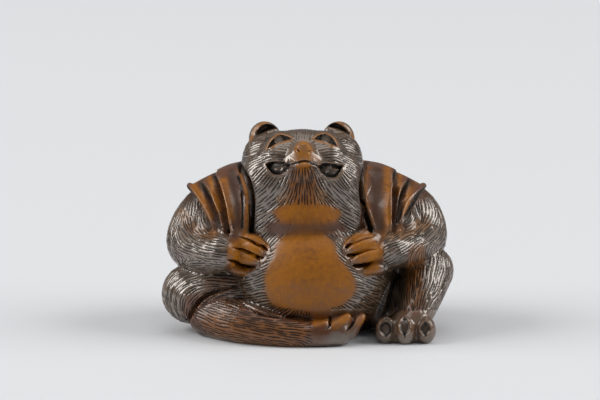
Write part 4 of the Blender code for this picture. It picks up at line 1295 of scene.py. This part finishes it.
def lie_of_hair(place, normal):
    """Unit direction of the hair at a surface point, with a slight wave by hand."""
    apart = guides[:, :3] - place
    square = np.einsum("ij,ij->i", apart, apart)
    facing = np.clip(guides[:, 3:6] @ normal, 0.02, 1.0)
    weight = facing**3 / (square + 0.25) ** 1.5
    mean = weight @ guides[:, 6:9]
    mean -= normal * (mean @ normal)
    mean /= max(np.linalg.norm(mean), 1e-9)
    turn = WANDER * math.sin(place @ WAVES[0]) * math.cos(place @ WAVES[1])
    mean += np.cross(normal, mean) * turn
    return mean / np.linalg.norm(mean)


# %% [markdown]
# ## Hair lines, evenly spaced
# The carver lays each line beside the last one at an even distance. The same is done here:
# a line follows the lie of the hair over the wood and stops where it meets a bare place, a
# sharp crease or another line. New lines start one spacing to either side of it.

# %% Where a line may run
HAIR_SPACING = 0.39
HAIR_STEP = 0.2
LONGEST_LINE = 150
LEAST_HAIR = 0.06
SHARPEST_CREASE = 0.55
SHARPEST_BEND = 0.3
first_corner = np.array([polygon.vertices[0] for polygon in skin.polygons])
cells = {}


def cell_of(place):
    return tuple(int(c // HAIR_SPACING) for c in place)


def crowded(place, normal, limit):
    """Whether a laid line passes within the limit on the same side of the wood."""
    x, y, z = cell_of(place)
    for i in (x - 1, x, x + 1):
        for j in (y - 1, y, y + 1):
            for k in (z - 1, z, z + 1):
                for other, facing in cells.get((i, j, k), ()):
                    if math.dist(other, place) < limit and facing @ normal > 0.2:
                        return True
    return False


def snapped(place):
    hit, normal, face, _ = hair_tree.find_nearest(Vector(place) * U)
    return np.array(hit) / U, np.array(normal), fur[first_corner[face]]


def traced(place, normal, sign):
    """Follow the hair from a point until something stops the line."""
    line = []
    heading = lie_of_hair(place, normal) * sign
    for _ in range(LONGEST_LINE):
        ahead, turned, hair = snapped(place + heading * HAIR_STEP)
        step = np.linalg.norm(ahead - place)
        if hair < LEAST_HAIR or step < HAIR_STEP * 0.3 or turned @ normal < SHARPEST_CREASE:
            break
        if crowded(ahead, turned, HAIR_SPACING * 0.62):
            break
        direction = lie_of_hair(ahead, turned) * sign
        if direction @ heading < SHARPEST_BEND:
            break
        heading = direction
        place, normal = ahead, turned
        line.append((place, normal, heading * sign))
    return line


# %% Lay the hair lines
def lay_lines(starts):
    """Lines at one spacing from each other, from the given starting points."""
    waiting = list(starts)
    lines = []
    while waiting:
        place = waiting.pop(0)
        place, normal, hair = snapped(place)
        if hair < 0.1 or crowded(place, normal, HAIR_SPACING * 0.95):
            continue
        back = traced(place, normal, -1)
        ahead = traced(place, normal, 1)
        line = back[::-1] + [(place, normal, lie_of_hair(place, normal))] + ahead
        if len(line) < 3:
            continue
        for spot, facing, heading in line:
            cells.setdefault(cell_of(spot), []).append((spot, facing))
            across = np.cross(facing, heading) * HAIR_SPACING
            waiting += [spot + across, spot - across]
        lines.append(line)
    return lines


lines = lay_lines(guides[::5, :3])
steps_laid = sum(len(line) for line in lines)
print("hair lines:", len(lines), "length in mm:", round(steps_laid * HAIR_STEP))

# %% [markdown]
# Long lines are cut as a row of single strokes, each deepest near its middle, so the fur
# does not look combed by a machine.

# %% Strokes along the lines
rng = np.random.default_rng(11)
STROKE_STEPS = (9, 22)
strokes = []
for line in lines:
    fade = []
    while len(fade) < len(line):
        length = int(rng.uniform(*STROKE_STEPS))
        swell = np.sin(np.linspace(0.15, math.pi - 0.12, length)) ** 0.5
        fade += list(swell * rng.uniform(0.75, 1.1))
    for (spot, facing, heading), share in zip(line, fade):
        strokes.append((*spot, *facing, *heading, share))
strokes = np.array(strokes)
stroke_finder = KDTree(len(strokes))
for k, row in enumerate(strokes):
    stroke_finder.insert(Vector(row[:3]), k)
stroke_finder.balance()

# %% Depth of the grooves, and how near a point is to one
HAIR_DEPTH = 0.14
HAIR_HALF_WIDTH = 0.18
SNAP_SHARE = 0.34


def groove_at(points, asked):
    """Depth of the hair lines at the asked points, their distance, and the way to the nearest.

    The depth and the distance run from 0 to 1, and at a distance of 1 the groove has ended.
    """
    nearest = np.zeros(len(points), int)
    for k in np.flatnonzero(asked):
        nearest[k] = stroke_finder.find(Vector(points[k]))[1]
    row = strokes[nearest]
    apart = points - row[:, :3]
    along = np.einsum("ij,ij->i", apart, row[:, 6:9])
    lift = np.einsum("ij,ij->i", apart, row[:, 3:6])
    sideways = apart - row[:, 6:9] * along[:, None] - row[:, 3:6] * lift[:, None]
    half_width = HAIR_HALF_WIDTH * (0.5 + 0.5 * row[:, 9])
    share = np.linalg.norm(sideways, axis=1) / half_width
    close = (np.abs(along) < HAIR_STEP) & (np.abs(lift) < 0.5) & asked
    on_line = close & (share < SNAP_SHARE)
    share = np.where(on_line, 0.0, share)
    share = np.where(close, np.clip(share, 0, 1), 1.0)
    pressure = np.clip(row[:, 9] * 1.3, 0, 1)
    return (1 - share) * row[:, 9], 1 - (1 - share) * pressure, sideways * on_line[:, None]


# %% [markdown]
# The lines are shallower where they were cut finer or rubbed down: on the forehead, beside the
# nose, and between chest and belly. Before they are cut, the skin is compared with a smoothed
# copy of itself. What stands proud of the copy is an edge, and what lies below it is a hollow.

# %% Cut the hair lines into the skin
CALM_REGIONS = (
    (
        (
            (-6.8, 27.2), (-5.4, 28.8), (-0.6, 29.2), (4.2, 28.8), (5.4, 27.2), (2.6, 27.2),
            (-0.6, 26.4), (-3.8, 27.2),
        ),
        0.8,
        0.35,
    ),
    (((-4.9, 25.3), (-3.4, 26.2), (-1.8, 26.4), (-1.9, 25.0), (-3.2, 24.4)), 0.8, 0.5),
    (((3.7, 25.3), (2.4, 26.2), (0.9, 26.4), (1.0, 25.0), (2.3, 24.4)), 0.8, 0.5),
    (((-4.6, 15.2), (0.0, 14.6), (4.4, 15.2), (4.6, 13.4), (0.0, 13.6), (-4.8, 13.4)), 0.8, 0.7),
)
softened = coordinates(with_modifiers(skin, ("SMOOTH", {"factor": 0.5, "iterations": 14})))
relief = np.einsum("ij,ij->i", points - softened, normals)
print("relief in mm, lowest to highest:", np.percentile(relief, [1, 10, 50, 90, 99]).round(3))
groove, from_line, to_line = groove_at(points, fur > 0.02)
calm = regions(CALM_REGIONS)
groove *= fur * (1 - calm)
from_line = 1 - (1 - from_line) * ramp(fur, 0.0, 0.5) * (1 - calm)
points -= to_line + normals * (groove * HAIR_DEPTH)[:, None]
skin.vertices.foreach_set("co", (points * U).ravel())
skin.update()

# %% [markdown]
# ## A lighter skin
# The skin is far denser than the picture needs. The amounts are stored as point attributes
# first, because they follow the points while the Decimate modifier merges its triangles.

# %% Sweep off loose crumbs
SMALLEST_PIECE = 1000


def sweep_crumbs(mesh):
    """Take away the tiny loose bits that the lightening leaves where two walls nearly meet."""
    form = bmesh.new()
    form.from_mesh(mesh)
    waiting = set(form.verts)
    crumbs = []
    while waiting:
        found = [waiting.pop()]
        for vertex in found:
            others = {edge.other_vert(vertex) for edge in vertex.link_edges} & waiting
            waiting -= others
            found += others
        if len(found) < SMALLEST_PIECE:
            crumbs += found
    bmesh.ops.delete(form, geom=crumbs, context="VERTS")
    form.to_mesh(mesh)
    form.free()
    return len(crumbs)


# %% Keep the amounts at the points and lighten the skin
PIECE_TRIANGLES = 196000
AMOUNTS = {
    "worn": worn,
    "red": red,
    "dark": dark,
    "from_line": from_line,
    "hollow": ramp(-relief, 0.01, 0.09),
    "edge": ramp(relief, 0.012, 0.05) * (1 - near_hole),
}
for name, amount in AMOUNTS.items():
    kept = skin.attributes.new(name, "FLOAT", "POINT")
    kept.data.foreach_set("value", np.asarray(amount, dtype=np.float32))
triangles = sum(len(polygon.vertices) - 2 for polygon in skin.polygons)
lighten = {"ratio": PIECE_TRIANGLES / triangles, "use_collapse_triangulate": True}
skin = with_modifiers(skin, ("DECIMATE", lighten))
print("triangles before and after:", triangles, len(skin.polygons))
print("crumb points swept off:", sweep_crumbs(skin))
for name in AMOUNTS:
    amount = np.empty(len(skin.vertices), np.float32)
    skin.attributes[name].data.foreach_get("value", amount)
    before, after = float(AMOUNTS[name].mean()), float(amount.mean())
    print(name, "mean", round(before, 3), "kept", round(after, 3))
netsuke = bpy.data.objects.new("carved_tanuki", skin)
bpy.context.scene.collection.objects.link(netsuke)
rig.ride(netsuke, "root")
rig.replaces(netsuke, "tanuki_netsuke")
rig.slot(netsuke, "stained_boxwood")
skin.polygons.foreach_set("use_smooth", [True] * len(skin.polygons))


# %% [markdown]
# ## Stained boxwood
# Boxwood is dense and fine, almost like horn, so its own grain hardly shows. What gives it life
# is the stain: nearly black where it lies in the cuts, grey brown on the fur, red brown on the
# jacket and the legs, and orange where fingers have rubbed it thin. One material reads the kept
# amounts and mixes these colours. Noise on the piece itself, sized in millimetres, breaks them
# up. A photograph wrapped round the figure would be quicker, but would not follow the carving.

# %% Small helpers for the material
def linear(colour):
    """Linear colour of an sRGB hex string."""
    parts = [int(colour[k : k + 2], 16) / 255 for k in (1, 3, 5)]
    return (*[p / 12.92 if p <= 0.04045 else ((p + 0.055) / 1.055) ** 2.4 for p in parts], 1.0)


MIX_SHARE, MIX_FIRST, MIX_SECOND, MIXED_COLOUR = 0, 6, 7, 2


def add_node(tree, kind, settings, links=()):
    """A node with its settings, and links given as (input, source)."""
    made = tree.nodes.new(kind)
    for name, value in settings.items():
        if isinstance(name, int) or name in made.inputs:
            made.inputs[name].default_value = value
        else:
            setattr(made, name, value)
    for place, source in links:
        tree.links.new(source, made.inputs[place])
    return made


def mixed(tree, share, first, second):
    """Colour that goes from the first source to the second hex colour."""
    settings = {"data_type": "RGBA", MIX_SECOND: linear(second)}
    made = add_node(tree, "ShaderNodeMix", settings, [(MIX_SHARE, share)])
    if isinstance(first, str):
        made.inputs[MIX_FIRST].default_value = linear(first)
    else:
        tree.links.new(first, made.inputs[MIX_FIRST])
    return made.outputs[MIXED_COLOUR]


def amount_of(tree, name):
    return add_node(tree, "ShaderNodeAttribute", {"attribute_name": name}).outputs["Fac"]


def calculated(tree, operation, first, second):
    """A clamped sum, product or power of two sources or numbers."""
    made = add_node(tree, "ShaderNodeMath", {"operation": operation, "use_clamp": True})
    for place, source in enumerate((first, second)):
        if isinstance(source, (int, float)):
            made.inputs[place].default_value = source
        else:
            tree.links.new(source, made.inputs[place])
    return made.outputs[0]


def mottle(tree, across, low, high, stretch=(1.0, 1.0, 1.0)):
    """Noise with spots of a size in mm, spread to run from 0 to 1."""
    place = add_node(tree, "ShaderNodeTexCoord", {}).outputs["Object"]
    per_metre = {"Scale": [1000 * s / across for s in stretch]}
    scale = add_node(tree, "ShaderNodeMapping", per_metre, [("Vector", place)])
    detail = {"Scale": 1.0, "Detail": 3.0}
    noise = add_node(tree, "ShaderNodeTexNoise", detail, [("Vector", scale.outputs[0])])
    levels = {"From Min": low, "From Max": high}
    return add_node(tree, "ShaderNodeMapRange", levels, [("Value", noise.outputs[0])]).outputs[0]


# %% Noise for the wood, sized in mm
# The pores of real boxwood are about 0.02 mm wide. The grain is drawn at 0.35 mm, as coarse as
# it needs to be to show. The spots are rubbed stain, the clouds its slow changes from place to
# place, and the scratches are fine marks of handling that run across the figure.
wood = bpy.data.materials.new("stained_boxwood")
wood.use_nodes = True
tree = wood.node_tree
surface = tree.nodes["Principled BSDF"]
spots = mottle(tree, 0.7, 0.35, 0.65)
grain = mottle(tree, 0.35, 0.3, 0.7, stretch=(1.0, 1.0, 0.15))
clouds = mottle(tree, 3.0, 0.35, 0.65)
scratches = mottle(tree, 0.3, 0.66, 0.72, stretch=(0.12, 1.0, 1.0))

# %% Colour of the wood: stain, wear, grain, and what lies dark in the cuts, painted shade included
worn_share = calculated(tree, "MULTIPLY", amount_of(tree, "edge"), 0.35)
worn_share = calculated(tree, "ADD", worn_share, amount_of(tree, "worn"))
fade = calculated(tree, "ADD", calculated(tree, "MULTIPLY", spots, 0.35), 0.5)
fade = calculated(tree, "ADD", calculated(tree, "MULTIPLY", clouds, 0.3), fade)
worn_share = calculated(tree, "MULTIPLY", worn_share, fade)
FUR_STAIN, RED_STAIN, BARE_BOXWOOD = "#665240", "#66391a", "#a56607"
PORES, CUT_STAIN_AND_SHADE = "#1a100a", "#080503"
colour = mixed(tree, amount_of(tree, "red"), FUR_STAIN, RED_STAIN)
colour = mixed(tree, worn_share, colour, BARE_BOXWOOD)
colour = mixed(tree, calculated(tree, "MULTIPLY", grain, 0.16), colour, PORES)
hollow = calculated(tree, "MULTIPLY", amount_of(tree, "hollow"), 0.85)
shade = calculated(tree, "ADD", amount_of(tree, "dark"), hollow)
levels = {"From Min": 0.85, "From Max": 0.3}
line = add_node(tree, "ShaderNodeMapRange", levels, [("Value", amount_of(tree, "from_line"))])
shade = calculated(tree, "MAXIMUM", shade, calculated(tree, "MULTIPLY", line.outputs[0], 0.92))
shade = calculated(tree, "MAXIMUM", shade, calculated(tree, "MULTIPLY", scratches, 0.3))
# Stain in the cuts and painted shade in the deep gaps and on the raised leg mix toward the same near black.
colour = mixed(tree, shade, colour, CUT_STAIN_AND_SHADE)
tree.links.new(colour, surface.inputs["Base Color"])
gloss = calculated(tree, "ADD", calculated(tree, "MULTIPLY", spots, 0.1), 0.42)
tree.links.new(gloss, surface.inputs["Roughness"])

# %% [markdown]
# The polish is a thin clear coat. It has been rubbed through where the wood is worn, it is
# thin on the jacket and the redder legs, and it never reached the bottom of the cuts. Rims
# that stand proud have been burnished bright. The coat's IOR began at the 1.5 of a real lacquer
# or wax, and was raised until the highlights on cheeks and knees were as bright as the
# photograph's, and the bare wood's own reflection was lowered to keep the worn places matt.

# %% Polish the wood
polish = calculated(tree, "SUBTRACT", 1.0, worn_share)
polish = calculated(tree, "MULTIPLY", polish, polish)
thin = calculated(tree, "MULTIPLY", amount_of(tree, "red"), 0.65)
polish = calculated(tree, "MULTIPLY", polish, calculated(tree, "SUBTRACT", 1.0, thin))
polish = calculated(tree, "ADD", polish, calculated(tree, "MULTIPLY", amount_of(tree, "edge"), 0.6))
polish = calculated(tree, "MULTIPLY", polish, calculated(tree, "SUBTRACT", 1.0, shade))
tree.links.new(polish, surface.inputs["Coat Weight"])
surface.inputs["Coat Roughness"].default_value = 0.16
surface.inputs["Coat IOR"].default_value = 2.1
surface.inputs["Specular IOR Level"].default_value = 0.3
skin.materials.clear()
skin.materials.append(wood)
bpy.context.scene.view_settings.view_transform = "Standard"

# %% [markdown]
# ## Stage
# Only for the picture: a pale paper floor, two soft boxes square to the sides that draw the
# long highlights on cheeks, arms and knees, two weak ones above, and a camera far away at the
# photograph's angle.

# %% Floor and lights
floor_form = bmesh.new()
bmesh.ops.create_grid(floor_form, x_segments=1, y_segments=1, size=3.0)
floor = bpy.data.objects.new("floor", as_mesh("floor", floor_form))
bpy.context.scene.collection.objects.link(floor)
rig.stage(floor)
paper = bpy.data.materials.new("pale_paper")
paper.use_nodes = True
sheet = paper.node_tree.nodes["Principled BSDF"]
sheet.inputs["Base Color"].default_value = linear("#d9dfe7")
sheet.inputs["Roughness"].default_value = 0.8
floor.data.materials.append(paper)

world = bpy.data.worlds.new("studio")
bpy.context.scene.world = world
world.use_nodes = True
sky = world.node_tree.nodes["Background"]
sky.inputs["Color"].default_value = linear("#e8e7e6")
sky.inputs["Strength"].default_value = 0.24

# %% Soft boxes: azimuth, rise, distance in metres, power in watts, width in metres
SOFT_BOXES = (
    (-85, 35, 1.6, 19.0, 1.1), (85, 35, 1.6, 17.5, 1.1), (0, 80, 1.6, 4.0, 1.0),
    (180, 62, 1.6, 2.4, 1.0),
)
for azimuth, rise, distance, power, size in SOFT_BOXES:
    lamp = bpy.data.lights.new("softbox", "AREA")
    lamp.color = linear("#fff9f2")[:3]
    lamp.energy = power
    lamp.size = size
    holder = bpy.data.objects.new("softbox", lamp)
    around, up = math.radians(azimuth), math.radians(rise)
    away = Vector((math.sin(around) * math.cos(up), -math.cos(around) * math.cos(up), math.sin(up)))
    holder.location = away * distance
    holder.rotation_euler = (-away).to_track_quat("-Z", "Y").to_euler()
    bpy.context.scene.collection.objects.link(holder)

# %% Camera
FRAME_WIDTH = 0.0866
DISTANCE = 1.0
AIM_ACROSS, AIM_UP = -0.94, 18.18
camera = bpy.data.cameras.new("camera")
camera.sensor_width = 36.0
camera.lens = 36.0 * DISTANCE / FRAME_WIDTH
camera.clip_start = 0.05
eye = bpy.data.objects.new("camera", camera)
aim = Vector((AIM_ACROSS, 0.0, 0.0)) * U + DRAWING_UP * AIM_UP * U
eye.location = aim - SIGHT * DISTANCE
eye.rotation_euler = SIGHT.to_track_quat("-Z", "Y").to_euler()
bpy.context.scene.collection.objects.link(eye)
bpy.context.scene.camera = eye

# %% [markdown]
# ## Size
# Last, the visual model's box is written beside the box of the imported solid, so both can be
# compared: the carving may not grow out of the part that it stands for.

# %% Write the boxes and finish
with open("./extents.json", "w") as out:
    json.dump({"cad": [list(c) for c in cad_box], "visual": [list(c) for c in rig.bounds()]}, out)
print(open("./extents.json").read())
